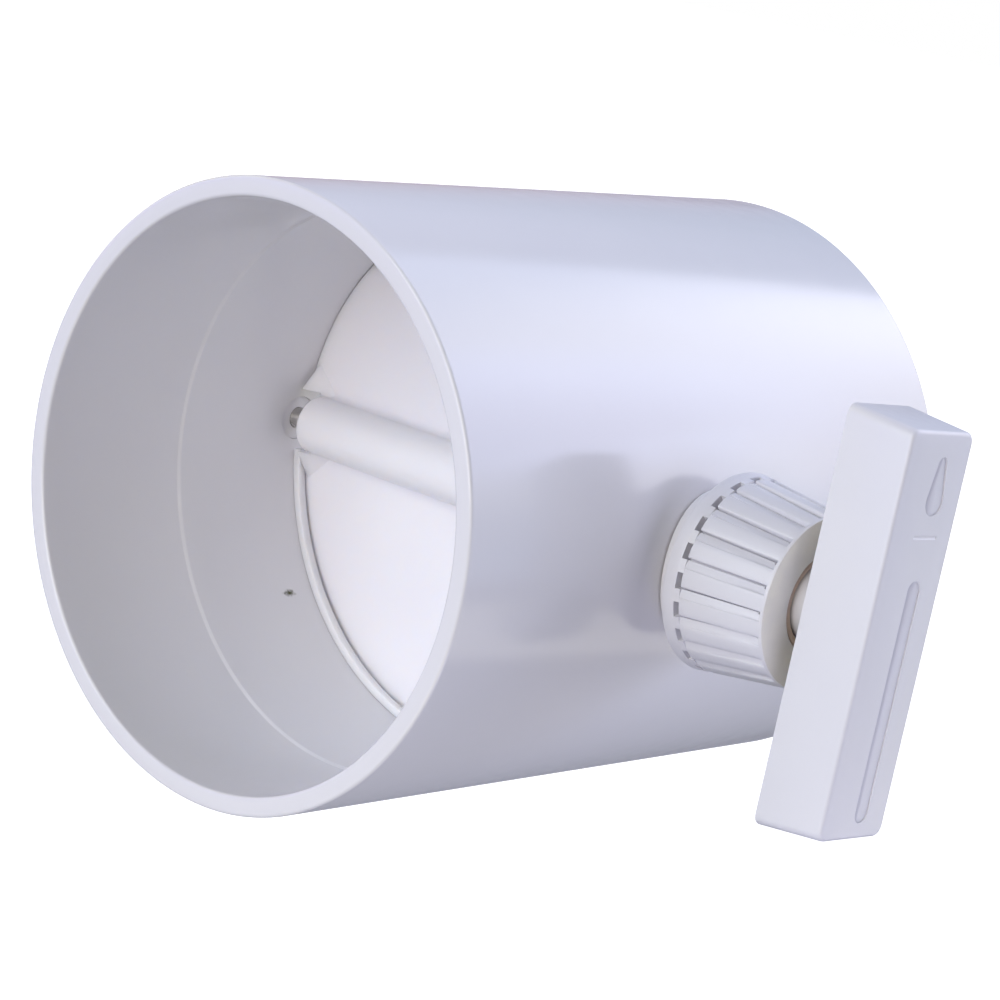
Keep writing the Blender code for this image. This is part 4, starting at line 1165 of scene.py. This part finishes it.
@dataclass
class Gland(Assembly):
    """The gland on the pipe: body with thread, bush, packing, follower, slip ring and nut."""

    inner_end: float = 51.2 * MM
    spigot: float = 9.0 * MM
    saddle: float = 13.4 * MM
    saddle_top: float = 58.6 * MM
    neck: float = 12.5 * MM
    neck_end: float = 72.0 * MM
    thread_root: float = 11.95 * MM
    thread_lead: float = 2.0 * MM
    thread_ends: Point = (0.9 * MM, 0.5 * MM)
    box: float = 7.5 * MM
    box_from: float = 53.0 * MM
    bush: Quad = (53.3 * MM, 60.3 * MM, 4.1 * MM, 7.2 * MM)
    packing_starts: Point = (60.6 * MM, 63.9 * MM)
    packing: Triple = (3 * MM, 4.3 * MM, 7.2 * MM)
    follower: tuple[Point, ...] = (
        (67.2 * MM, 4.1 * MM), (67.2 * MM, 7.2 * MM), (73.5 * MM, 7.2 * MM),
        (73.5 * MM, 10.5 * MM), (75.4 * MM, 10.5 * MM), (75.4 * MM, 4.1 * MM))
    slip: Quad = (75.7 * MM, 76.7 * MM, 7.2 * MM, 10.5 * MM)
    wiper: Quad = (77.45 * MM, 78.75 * MM, 7.2 * MM, 8.42 * MM)
    nut_from: float = 59.2 * MM
    nut_to: float = 79.2 * MM
    nut_flange: float = 17.97 * MM
    nut_face: float = 15.45 * MM
    # The nut's edges: how far along and how far below the cone each point lies
    nut_edge: tuple[Point, ...] = ((0.0, 0.45 * MM), (0.12 * MM, 0.13 * MM), (0.45 * MM, 0.0))
    nut_sharp: float = 38.0
    flange_width: float = 2.5 * MM
    flange_edge: Point = (0.12 * MM, 0.03 * MM)
    rib_edge: Point = (0.15 * MM, 0.06 * MM)
    lip: float = 0.65 * MM
    lip_edge: float = 0.02 * MM
    nut_wall_from: float = 77.0 * MM
    nut_bore: float = 12.8 * MM
    mouth: float = 8.72 * MM
    # The ribs and grooves: shares of one pitch or of a groove where no unit is given
    rib_count: int = 21
    rib_phase: float = 20.35
    rib_share: float = 0.636
    rib_corner: float = 0.035
    rib_crown: float = 0.05 * MM
    rib_corner_depth: float = 0.13 * MM
    pit_top: float = 0.14
    slit_from: float = 0.79
    dot_from: float = 0.6
    wall: float = 0.004
    hair: float = 1e-6
    pit_length: float = 1.05 * MM
    pit_depth: float = 2.4 * MM
    slit_depth: float = 0.7 * MM
    dot_length: float = 0.75 * MM
    dot_depth: float = 2.2 * MM
    groove_depths: Point = (0.55 * MM, 1.15 * MM)
    crease_depths: Point = (0.02 * MM, 0.3 * MM)
    step: float = 0.04 * MM
    rib_steps: int = 12

    @property
    def flange_end(self) -> float:
        """Where the nut's flange ends."""
        return self.nut_from + self.flange_width

    @property
    def ribs_from(self) -> float:
        """Where the nut's ribs begin in full."""
        return self.flange_end + self.pit_length

    @property
    def ribs_to(self) -> float:
        """Where the nut's ribs end."""
        return self.nut_to - self.lip

    def build_body(self) -> None:
        """Build the saddle, the spigot and the neck with its thread."""
        saddle = eased([
            (self.pipe_radius - 4 * MM, self.saddle), (self.saddle_top, self.saddle),
            (self.saddle_top, self.neck - 2 * MM)], 0.6 * MM, 4, closed=False)[:-1]
        body = to_object("gland_saddle", lathe(saddle, Line.SHAFT, Facets.GLAND, tube=False),
                         self.finishes.abs_satin.build())
        hollow_to_pipe(body, self.pipe_radius + self.pipe_gap)
        core_step = self.saddle_top - 1 * MM
        turn_into(body, "core", [
            (self.inner_end, self.spigot), (core_step, self.spigot),
            (core_step, self.thread_root), (self.neck_end, self.thread_root),
        ], Line.SHAFT, Facets.GLAND, Cut.ADD)
        turn_into(body, "hollow", [
            (self.inner_end - PAST, self.shaft_hole), (self.box_from, self.shaft_hole),
            (self.box_from, self.box), (self.neck_end + PAST, self.box),
        ], Line.SHAFT, Facets.RING)
        self.stand(body, 0.0, "duct", "moulded_white", "gland_body")

    def build_thread(self) -> None:
        """Sweep the neck's thread along a helix with a node tree."""
        bm = bmesh.new()
        bmesh.ops.create_cube(bm, size=1 * MM)
        thread = to_object("neck_thread", bm, self.finishes.abs_satin.build())
        tree, given = geometry_tree("helix_thread", (
            ("Turns", "NodeSocketFloat"), ("Root", "NodeSocketFloat"), ("Length", "NodeSocketFloat"),
            ("Ridge", "NodeSocketFloat")))
        root = given.outputs["Root"]
        helix = add_node(tree, "GeometryNodeCurveSpiral", None, {
            "Resolution": 64, "Rotations": given.outputs["Turns"], "Start Radius": root, "End Radius": root,
            "Height": given.outputs["Length"]})
        section = add_node(tree, "GeometryNodeCurvePrimitiveCircle", None, {
            "Resolution": 6, "Radius": given.outputs["Ridge"]})
        ridge = add_node(tree, "GeometryNodeCurveToMesh", None, {
            "Curve": helix.outputs[0], "Profile Curve": section.outputs[0], "Fill Caps": True})
        close_tree(tree, ridge.outputs[0], thread.data.materials[0], 0.001 * MM)
        start = self.saddle_top + self.thread_ends[0]
        length = self.neck_end - self.saddle_top - sum(self.thread_ends)
        run_tree(thread, tree, {
            "Turns": length / self.thread_lead, "Root": self.thread_root, "Length": length,
            "Ridge": self.neck - self.thread_root})
        stand = Matrix.Translation((start, 0.0, 0.0)) @ Matrix.Rotation(math.pi / 2, 4, "Y")
        thread.data.transform(self.shaft.matrix() @ stand)
        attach(thread, "duct")
        LOG.info("neck_thread on duct: %d faces", len(thread.data.polygons))

    def build_inside(self) -> None:
        """Build what the gland holds."""
        finishes, shaft = self.finishes, self.shaft
        ring("bearing_bush", finishes.acetal, shaft, self.bush, "duct", "acetal", "gland_bush", 0.4 * MM)
        width, inner, outer = self.packing
        for place, start in zip(("inner", "outer"), self.packing_starts):
            ring(place + "_packing", finishes.rubber, shaft, (start, start + width, inner, outer), "duct",
                 "packing_rubber", "packing_ring_" + place, 0.9 * MM)
        profile = eased(self.follower, 0.25 * MM)
        follower = to_object("packing_follower", lathe(profile, Line.SHAFT, Facets.RING),
                             finishes.abs_satin.build())
        self.stand(follower, 0.0, "duct", "moulded_white", "gland_follower")
        ring("slip_washer", finishes.acetal, shaft, self.slip, "slip_ring", "acetal", "slip_ring")
        ring("felt_wiper", finishes.felt, shaft, self.wiper, "nut", "felt", "nut_wiper_ring", 0.3 * MM)

    def outside_cut(self, x: float, turn: float) -> float:
        """Find how deep the nut's outside is cut at one place.

        Args:
            x: Place along the shaft.
            turn: Place within one pitch, from -0.5 to 0.5 about a rib's middle, positive upwards.

        Returns:
            The depth below the cone.
        """
        half = self.rib_share / 2
        gap = 1 - self.rib_share
        if x <= self.flange_end or x >= self.ribs_to:
            return 0.0
        if x < self.ribs_from:
            low = -half - (1 - self.slit_from) * gap
            return self.pit_depth if low - self.hair <= turn <= self.pit_top + self.hair else self.rib_crown
        if abs(turn) <= half + self.hair:
            # Ribs are slightly crowned, with eased corners
            corner = max(0.0, 1.0 - (half - abs(turn)) / self.rib_corner)
            return self.rib_crown * (turn / half) ** 2 + self.rib_corner_depth * corner ** 2
        share = (x - self.ribs_from) / (self.ribs_to - self.ribs_from)
        deep = self.groove_depths[0] + (self.groove_depths[1] - self.groove_depths[0]) * share
        shallow = self.crease_depths[0] + (self.crease_depths[1] - self.crease_depths[0]) * share
        # Above a rib the groove starts shallow, and it ends deep in a slit under the next one
        place = ((turn - half) if turn > 0 else (1 + turn - half)) / gap
        depth = shallow + (deep - shallow) * place
        if x > self.ribs_to - self.dot_length and place > self.dot_from:
            return depth + self.dot_depth
        return depth + (self.slit_depth if place > self.slit_from else 0.0)

    def nut_turns(self) -> list[float]:
        """List the places over one pitch at which the nut has points.

        Returns:
            The places, from a rib's lower corner to the next rib's.
        """
        half = self.rib_share / 2
        gap = 1 - self.rib_share
        corners = (half, half - 0.012, half - self.rib_corner)
        places = (0.25, self.dot_from - 0.01, self.dot_from + 0.01,
                  self.slit_from - 0.01, self.slit_from + 0.01, 0.96)
        return [
            *(-turn for turn in corners), -0.14, 0.0, self.pit_top, self.pit_top + 0.006,
            *reversed(corners), half + self.wall * 3, *(half + gap * place for place in places),
            1 - half - self.wall, 1 - half]

    def nut_stations(self) -> list[Triple]:
        """List the places along the shaft at which the nut has points.

        Returns:
            For each its place, how far below the cone it is eased, and 1 where ribs are carved.
        """
        start, end, step = self.ribs_from, self.ribs_to, self.step
        dot = end - self.dot_length
        run = [start + (dot - start) * i / self.rib_steps for i in range(1, self.rib_steps)]
        return [
            *((self.nut_from + along, ease, 0.0) for along, ease in self.nut_edge),
            (self.flange_end - self.flange_edge[0], 0.0, 0.0), (self.flange_end, self.flange_edge[1], 0.0),
            (self.flange_end + step, 0.0, 1.0), (start - step, 0.0, 1.0),
            (start, self.rib_edge[1], 1.0), (start + self.rib_edge[0], 0.0, 1.0),
            *((x, 0.0, 1.0) for x in (*run, dot - step, dot + step, end - step)),
            (end, self.lip_edge, 0.0),
            *((self.nut_to - along, ease, 0.0) for along, ease in reversed(self.nut_edge)),
        ]

    def build_nut(self) -> None:
        """Build one sector of the nut, then set it round the shaft line with a node tree."""
        turns = self.nut_turns()
        pitch = FULL_TURN / self.rib_count
        middle = math.radians(self.rib_phase)
        taper = (self.nut_face - self.nut_flange) / (self.nut_to - self.nut_from)
        loops: list[list[Vector]] = []
        for x, ease, carved in self.nut_stations():
            radius = self.nut_flange + taper * (x - self.nut_from) - ease
            cuts = [self.outside_cut(x, turn if turn <= 0.5 else turn - 1) * carved for turn in turns]
            loops.append([on_line(Line.SHAFT, x, radius - cut, middle + pitch * turn)
                          for turn, cut in zip(turns, cuts)])
        edge = self.nut_edge[0][1]
        inside = eased([
            (self.nut_to, self.nut_face - edge), (self.nut_to, self.mouth),
            (self.nut_wall_from, self.mouth), (self.nut_wall_from, self.nut_bore),
            (self.nut_from, self.nut_bore), (self.nut_from, self.nut_flange - edge),
        ], 0.3 * MM, closed=False)[1:-1]
        for x, radius in inside:
            loops.append([on_line(Line.SHAFT, x, radius, middle + pitch * turn) for turn in turns])
        bm = bmesh.new()
        rows = [[bm.verts.new(point) for point in loop] for loop in loops]
        for low, high in zip(rows, rows[1:] + rows[:1]):
            for i in range(len(turns) - 1):
                bm.faces.new((low[i], low[i + 1], high[i + 1], high[i]))
        nut = to_object("ribbed_nut", bm, self.finishes.nut_abs.build())
        repeat_round(nut, self.rib_count, self.nut_sharp)
        self.stand(nut, 0.0, "nut", "moulded_white", "gland_nut")

    def build(self) -> None:
        """Build the gland from the pipe outwards."""
        self.build_body()
        self.build_thread()
        self.build_inside()
        self.build_nut()


@dataclass
class Lever(Assembly):
    """The moulded box-shaped lever with its hub, webs, marks and grub screw."""

    rim: float = 82.4 * MM
    face: float = 96.0 * MM
    half_widths: Point = (9.4 * MM, 9.0 * MM)
    half_lengths: Point = (36.8 * MM, 35.4 * MM)
    shift: float = -1.0 * MM
    corner: float = 1.9 * MM
    edge: float = 0.7 * MM
    rim_edge: float = 0.3 * MM
    rim_waist: float = 0.08 * MM
    wall: float = 1.8 * MM
    face_wall: float = 2.4 * MM
    hub: float = 6.6 * MM
    hub_from: float = 75.7 * MM
    hub_waist: float = 3.4 * MM
    square_half: float = 3.3 * MM
    square_overlap: float = 0.3 * MM
    web: float = 1.4 * MM
    web_recess: float = 1.4 * MM
    web_rows: Point = (-31.0 * MM, 13.0 * MM)
    web_step: float = 9.0 * MM
    spine_from: float = 1.7 * MM
    grub_at: float = 88.5 * MM
    grub_hole: float = 2.3 * MM
    grub: tuple[Point, ...] = (
        (3.3 * MM, 1.4 * MM), (3.8 * MM, 2.0 * MM), (7.8 * MM, 2.0 * MM), (7.8 * MM, 1.2 * MM))
    grub_socket: float = 1.1 * MM
    mark_depths: Point = (0.42 * MM, 0.2 * MM)
    mark_dip: float = 0.6 * MM
    mark_dip_width: float = 1.1 * MM
    mark_overlap: float = 0.04 * MM
    mark_steps: int = 24
    dash: tuple[Point, ...] = (
        (-3.6 * MM, 0.12 * MM), (-3.3 * MM, 0.5 * MM), (3.3 * MM, 0.5 * MM), (3.6 * MM, 0.12 * MM))
    dash_lift: float = 0.36 * MM
    dash_at: Point = (1.1 * MM, 16.3 * MM)

    def sizes(self, x: float) -> Point:
        """The half width and half length at a place along the shaft."""
        share = (x - self.rim) / (self.face - self.rim)
        return (self.half_widths[0] + (self.half_widths[1] - self.half_widths[0]) * share,
                self.half_lengths[0] + (self.half_lengths[1] - self.half_lengths[0]) * share)

    def loop(self, x: float, inset: float, corner: float) -> list[Vector]:
        """Draw a rounded oblong across the lever.

        Args:
            x: Place along the shaft.
            inset: How far inside the lever's outside it lies.
            corner: Its corner radius.

        Returns:
            The loop of points.
        """
        width, length = self.sizes(x)
        points = []
        steps = 8
        for quarter in range(4):
            side_y = 1 if quarter in (0, 3) else -1
            side_z = 1 if quarter in (0, 1) else -1
            for i in range(steps + 1):
                angle = math.pi / 2 * (quarter + i / steps)
                points.append(Vector((
                    x,
                    side_y * (width - inset - corner) + corner * math.cos(angle),
                    side_z * (length - inset - corner) + corner * math.sin(angle) + self.shift)))
        return points

    def shell(self) -> Piece:
        """Build the open box with rounded edges.

        Returns:
            The lever's shell, built about the shaft line.
        """
        loops = []
        steps = 4
        for i in range(steps + 1):
            angle = math.pi / 2 * i / steps
            inset = self.edge * (1 - math.sin(angle))
            place = self.face - self.edge * (1 - math.cos(angle))
            loops.append(self.loop(place, inset, self.corner - inset * 0.6))
        inner = max(self.corner - self.wall, 0.5 * MM)
        for x, inset, corner in (
            (self.rim + self.rim_edge, 0.0, self.corner),
            (self.rim + self.rim_waist, self.rim_waist, self.corner),
            (self.rim, self.rim_edge, self.corner),
            (self.rim, self.wall - self.rim_edge, inner),
            (self.rim + self.rim_edge, self.wall, inner),
            (self.face - self.face_wall, self.wall, inner),
        ):
            loops.append(self.loop(x, inset, corner))
        return to_object("box_lever", skin(loops), self.finishes.abs_satin.build())

    def add_inside(self, lever: Piece) -> None:
        """Add hub, spine and cross webs inside the box.

        Args:
            lever: The shell.
        """
        sunk = self.face - self.face_wall * 0.7
        overlap = self.wall * 0.6
        reach = self.half_widths[1] - overlap
        start = self.rim + self.web_recess
        hub = [(self.hub_from, 3 * MM), (self.hub_from, self.hub), (sunk, self.hub)]
        turn_into(lever, "hub", eased(hub, 0.4 * MM, closed=False)[1:], Line.SHAFT, Facets.RING, Cut.ADD)
        half = self.hub_waist
        combine(lever, slab("waist", (start, -reach, -half), (sunk, reach, half)), Cut.ADD)
        half = self.web / 2
        for row in self.web_rows:
            webs = slab("webs", (start, -reach, -half), (sunk, reach, half))
            webs.data.materials.append(lever.data.materials[0])
            repeat_along(webs, 3, (0.0, 0.0, self.web_step), (0.0, 0.0, row + self.shift))
            combine(lever, webs, Cut.ADD)
        far = self.half_lengths[1] - overlap
        for low, high in ((self.spine_from, far + self.shift), (-far + self.shift, -self.spine_from)):
            combine(lever, slab("spine", (start, -half, low), (sunk, half, high)), Cut.ADD)
        drill(lever, "round_bore", self.hub_from - PAST, self.square_from + self.square_overlap,
              self.shaft_hole, Facets.HOLE)
        side = self.square_half
        combine(lever, slab("square_bore", (self.square_from, -side, -side),
                            (self.face - self.face_wall, side, side)), Cut.REMOVE)
        drill(lever, "grub_drill", 3 * MM, 12 * MM, self.grub_hole, Facets.SCREW, Line.DUCT,
              Matrix.Translation((self.grub_at, 0.0, 0.0)))

    def mark(self, ends: Point, radii: Point, middle: float) -> Piece:
        """Make a cutter for a mark in the outer face: a sloped floor that dips along its inlet side.

        Args:
            ends: The lower and the upper round's place along the lever.
            radii: The lower and the upper round's radius.
            middle: The mark's line, from the lever's middle.

        Returns:
            The cutter.
        """
        low, high = ends
        lean = math.asin((radii[0] - radii[1]) / (high - low))
        rounds = ((high, radii[1], lean, math.pi - 2 * lean),
                  (low, radii[0], math.pi - lean, math.pi + 2 * lean))
        deep, shallow = self.mark_depths
        widest = max(radii)
        bottom, foot, rim, above = [], [], [], []
        for centre, radius, start, sweep in rounds:
            for i in range(self.mark_steps + 1):
                angle = start + sweep * i / self.mark_steps
                y = radius * math.cos(angle)
                z = centre + radius * math.sin(angle)
                inlet = max(0.0, -math.cos(angle))
                inner = y + self.mark_dip_width * inlet - self.mark_overlap * (1 - inlet)
                levels = [self.face - shallow + (deep - shallow) * (a / widest - 1) / 2 for a in (inner, y)]
                bottom.append(Vector((levels[0], middle + inner, z)))
                foot.append(Vector((levels[1] - self.mark_dip * inlet, middle + y, z)))
                rim.append(Vector((self.face, middle + y, z)))
                above.append(Vector((self.face + 1 * MM, middle + y, z)))
        return to_object("mark", skin([bottom, foot, rim, above]))

    def cut_marks(self, lever: Piece) -> None:
        """Cut keyhole, groove and dash in the outer face.

        Args:
            lever: The lever.
        """
        for ends, radii, middle in (
            ((22.4 * MM, 28.9 * MM), (2.45 * MM, 1.2 * MM), 1.4 * MM),
            ((-31.8 * MM, 7.0 * MM), (1.8 * MM, 1.8 * MM), 1.5 * MM),
        ):
            combine(lever, self.mark(ends, radii, middle), Cut.REMOVE)
        turn_into(lever, "dash", self.dash, Line.DUCT, Facets.DASH,
                  place=Matrix.Translation((self.face + self.dash_lift, *self.dash_at)))

    def build_grub_screw(self) -> None:
        """Build the grub screw with its hexagon socket."""
        profile = eased(self.grub, 0.2 * MM, 2, closed=False)
        screw = to_object("grub_screw", lathe(profile, Line.DUCT, Facets.SCREW, tube=False),
                          self.finishes.steel.build())
        drill(screw, "socket", 5.5 * MM, 9 * MM, self.grub_socket, Facets.HEXAGON, Line.DUCT)
        screw.data.transform(Matrix.Translation((self.grub_at, 0.0, 0.0)))
        self.stand(screw, self.shaft.lever_turn, "blade_assembly", "steel", "lever_grub_screw")

    def build(self) -> None:
        """Build the lever and its grub screw."""
        lever = self.shell()
        self.add_inside(lever)
        self.cut_marks(lever)
        self.stand(lever, self.shaft.lever_turn, "blade_assembly", "moulded_white", "lever")
        self.build_grub_screw()


@dataclass(frozen=True)
class Softbox:
    """A rectangular studio light with a crisp edge that looks at the damper."""

    name: str
    azimuth: float
    elevation: float
    width: float
    height: float
    power: Triple
    distance: float


class Side(Enum):
    """Which side of the black board a patch of light is on."""

    BOTH = 0
    LEVER = 1
    FAR = -1


@dataclass(frozen=True)
class Glow:
    """A soft patch of light on the studio's walls, fading over its spread."""

    azimuth: float
    elevation: float
    spread: float
    strength: Triple
    side: Side = Side.BOTH


def away(azimuth: float, elevation: float) -> Vector:
    """The direction from the damper at an azimuth and an elevation in degrees."""
    az = math.radians(azimuth)
    el = math.radians(elevation)
    return Vector((math.sin(az) * math.cos(el), -math.cos(az) * math.cos(el), math.sin(el)))


@dataclass
class Studio:
    """The camera, the lights, the floor and the backdrop."""

    eye: Triple = (0.37289, -0.36130, 0.11496)
    right: Triple = (0.72145, 0.67213, 0.16657)
    up: Triple = (-0.25995, 0.03993, 0.96480)
    back: Triple = (0.64182, -0.73935, 0.20353)
    lens: float = 111.46
    sensor: float = 36.0
    view_range: Point = (0.01, 50.0)
    target: Triple = (0.0, 0.065, 0.0)
    floor_level: float = -0.20
    floor_size: float = 6.0
    floor_fade: Point = (0.2, 0.34)
    floor_glow: Point = (0.6, 1.0)
    white: Quad = (1.0, 1.0, 1.0, 1.0)
    # The black board stands in a plane through the damper, square to this direction
    board: Triple = (0.9452, -0.0589, 0.3212)
    lights: tuple[Softbox, ...] = (
        Softbox("side_light", 125, 5, 0.25, 0.25, (0.126, 0.155, 0.207), 0.4),
        Softbox("low_back_light", 145, -12, 0.25, 0.15, (0.062, 0.057, 0.000), 0.45),
        Softbox("under_front_light", 20, -32, 0.3, 0.12, (0.153, 0.147, 0.097), 0.33),
        Softbox("under_side_light", 125, -28, 0.3, 0.12, (0.137, 0.132, 0.117), 0.35),
        Softbox("under_lever_light", 78, -38, 0.14, 0.1, (0.081, 0.082, 0.128), 0.28),
    )
    glows: tuple[Glow, ...] = (
        Glow(240, 52, 42, (0.376, 0.353, 0.499)),
        Glow(180, 52, 42, (1.306, 1.533, 2.037), Side.LEVER),
        Glow(0, 20, 40, (2.667, 2.634, 1.986)),
        Glow(280, 20, 40, (0.986, 0.832, 0.162)),
        Glow(160, 20, 40, (2.587, 2.393, 2.312), Side.LEVER),
        Glow(200, 20, 40, (0.312, 0.391, 0.533), Side.FAR),
        Glow(140, 30, 22, (0.754, 0.994, 2.118), Side.LEVER),
        Glow(-22, 38, 26, (0.627, 0.813, 1.490)),
        Glow(22, 4, 26, (3.790, 3.080, 2.478)),
        Glow(0, -6, 40, (0.000, 0.509, 2.088)),
        Glow(240, -6, 40, (0.320, 0.180, 0.183)),
        Glow(300, -6, 40, (0.000, 0.000, 1.570)),
    )

    def build_camera(self) -> None:
        """Set the camera at the fitted place."""
        camera = bpy.data.objects.new("studio_camera", bpy.data.cameras.new("studio_camera"))
        bpy.context.scene.collection.objects.link(camera)
        camera.data.sensor_width = self.sensor
        camera.data.lens = self.lens
        camera.data.clip_start, camera.data.clip_end = self.view_range
        axes = Matrix((self.right, self.up, self.back)).transposed()
        camera.matrix_world = Matrix.Translation(self.eye) @ axes.to_4x4()
        bpy.context.scene.camera = camera

    def build_lights(self) -> None:
        """Set the softboxes round the damper."""
        for box in self.lights:
            lamp = bpy.data.lights.new(box.name, "AREA")
            lamp.shape = "RECTANGLE"
            lamp.size = box.width
            lamp.size_y = box.height
            lamp.energy = max(box.power)
            lamp.color = [part / lamp.energy for part in box.power]
            obj = bpy.data.objects.new(box.name, lamp)
            bpy.context.scene.collection.objects.link(obj)
            aim = away(box.azimuth, box.elevation)
            obj.location = Vector(self.target) + aim * box.distance
            obj.rotation_euler = aim.to_track_quat("Z", "Y").to_euler()

    def build_room(self) -> None:
        """Lay the white floor and set the soft light from all round."""
        bm = bmesh.new()
        bmesh.ops.create_grid(bm, x_segments=1, y_segments=1, size=self.floor_size)
        bmesh.ops.translate(bm, vec=(0.0, 0.0, self.floor_level), verts=bm.verts)
        floor = to_object("studio_floor", bm, self.floor_material())
        world = bpy.data.worlds.new("studio_air")
        world.use_nodes = True
        tree = world.node_tree
        tree.nodes.clear()
        white = add_node(tree, "ShaderNodeBackground", None, {"Color": self.white, "Strength": 1.0})
        soft = add_node(tree, "ShaderNodeBackground", None, {
            "Color": self.add_glows(tree), "Strength": 1.0})
        mixed = self.seen_as(tree, soft.outputs[0], white.outputs[0])
        add_node(tree, "ShaderNodeOutputWorld", None, {"Surface": mixed})
        bpy.context.scene.world = world

    def seen_as(self, tree: Tree, light: Socket, sight: Socket) -> Socket:
        """Give the camera another shader than the light rays.

        Args:
            tree: The tree.
            light: The shader that lights and mirrors.
            sight: The shader that the camera sees.

        Returns:
            The socket with both.
        """
        path = add_node(tree, "ShaderNodeLightPath")
        return add_node(tree, "ShaderNodeMixShader", None, {
            0: path.outputs["Is Camera Ray"], 1: light, 2: sight}).outputs[0]

    def add_glows(self, tree: Tree) -> Socket:
        """Add up the soft patches of light by their directions.

        Args:
            tree: The world's tree.

        Returns:
            The socket with their sum.
        """
        view = add_node(tree, "ShaderNodeTexCoord").outputs["Generated"]
        total = add_node(tree, "ShaderNodeCombineXYZ").outputs[0]
        for glow in self.glows:
            near = add_node(tree, "ShaderNodeVectorMath", {"operation": "DOT_PRODUCT"},
                            {0: view, 1: away(glow.azimuth, glow.elevation)})
            fade = add_node(tree, "ShaderNodeMapRange", {"interpolation_type": "SMOOTHERSTEP"}, {
                "Value": near.outputs["Value"], "From Min": math.cos(math.radians(glow.spread)),
                "From Max": 1.0, "To Min": 0.0, "To Max": 1.0})
            amount = fade.outputs["Result"]
            if glow.side is not Side.BOTH:
                amount = self.cut_by_board(tree, view, amount, glow.side)
            part = add_node(tree, "ShaderNodeVectorMath", {"operation": "SCALE"},
                            {0: glow.strength, "Scale": amount})
            total = add_node(tree, "ShaderNodeVectorMath", {"operation": "ADD"},
                             {0: total, 1: part.outputs["Vector"]}).outputs["Vector"]
        return total

    def cut_by_board(self, tree: Tree, view: Socket, amount: Socket, side: Side) -> Socket:
        """Cut a patch of light crisply along the black board's edge.

        Args:
            tree: The world's tree.
            view: The direction looked at.
            amount: The patch's light.
            side: The side that stays lit.

        Returns:
            The socket with the light that is left.
        """
        normal = tuple(part * side.value for part in self.board)
        across = add_node(tree, "ShaderNodeVectorMath", {"operation": "DOT_PRODUCT"}, {0: view, 1: normal})
        lit = add_node(tree, "ShaderNodeMath", {"operation": "GREATER_THAN"}, {
            0: across.outputs["Value"], 1: 0.0})
        kept = add_node(tree, "ShaderNodeMath", {"operation": "MULTIPLY"}, {0: lit.outputs[0], 1: amount})
        return kept.outputs[0]

    def floor_material(self) -> Material:
        """Make the floor's white paint, which the camera sees as white where no shadow falls.

        Returns:
            The material.
        """
        material, tree, place = new_material("matt_white_floor")
        cloud = add_node(tree, "ShaderNodeTexNoise", None, {"Vector": place, "Scale": 2.0, "Detail": 2.0})
        paint = add_node(tree, "ShaderNodeMix", COLOUR_MIX, {
            SHARE: cloud.outputs["Fac"], FIRST: srgb("98989B"), SECOND: srgb("949498")})
        matt = add_node(tree, "ShaderNodeBsdfDiffuse", None, {"Color": paint.outputs[MIXED]})
        reach = add_node(tree, "ShaderNodeVectorMath", {"operation": "LENGTH"}, {0: place})
        level = add_node(tree, "ShaderNodeMapRange", None, {
            "Value": reach.outputs["Value"],
            "From Min": self.floor_fade[0], "From Max": self.floor_fade[1],
            "To Min": self.floor_glow[0], "To Max": self.floor_glow[1]})
        glow = add_node(tree, "ShaderNodeEmission", None, {
            "Color": self.white, "Strength": level.outputs["Result"]})
        both = add_node(tree, "ShaderNodeAddShader", None, {0: matt.outputs[0], 1: glow.outputs[0]})
        mixed = self.seen_as(tree, matt.outputs[0], both.outputs[0])
        add_node(tree, "ShaderNodeOutputMaterial", None, {"Surface": mixed})
        return material

    def build(self) -> None:
        """Build the whole studio."""
        self.build_camera()
        self.build_lights()
        self.build_room()
        bpy.context.scene.view_settings.view_transform = "Standard"


def main() -> None:
    """Build every sub-assembly and the studio, and log each one's name as it is built."""
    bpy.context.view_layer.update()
    finishes = Finishes()
    shaft = ShaftLine()
    kinds = (Piping, Blade, Drive, Gland, Lever)
    for assembly in [kind(finishes, shaft) for kind in kinds] + [Studio()]:
        LOG.info("building %s", type(assembly).__name__)
        assembly.build()


if __name__ == "__main__":
    main()
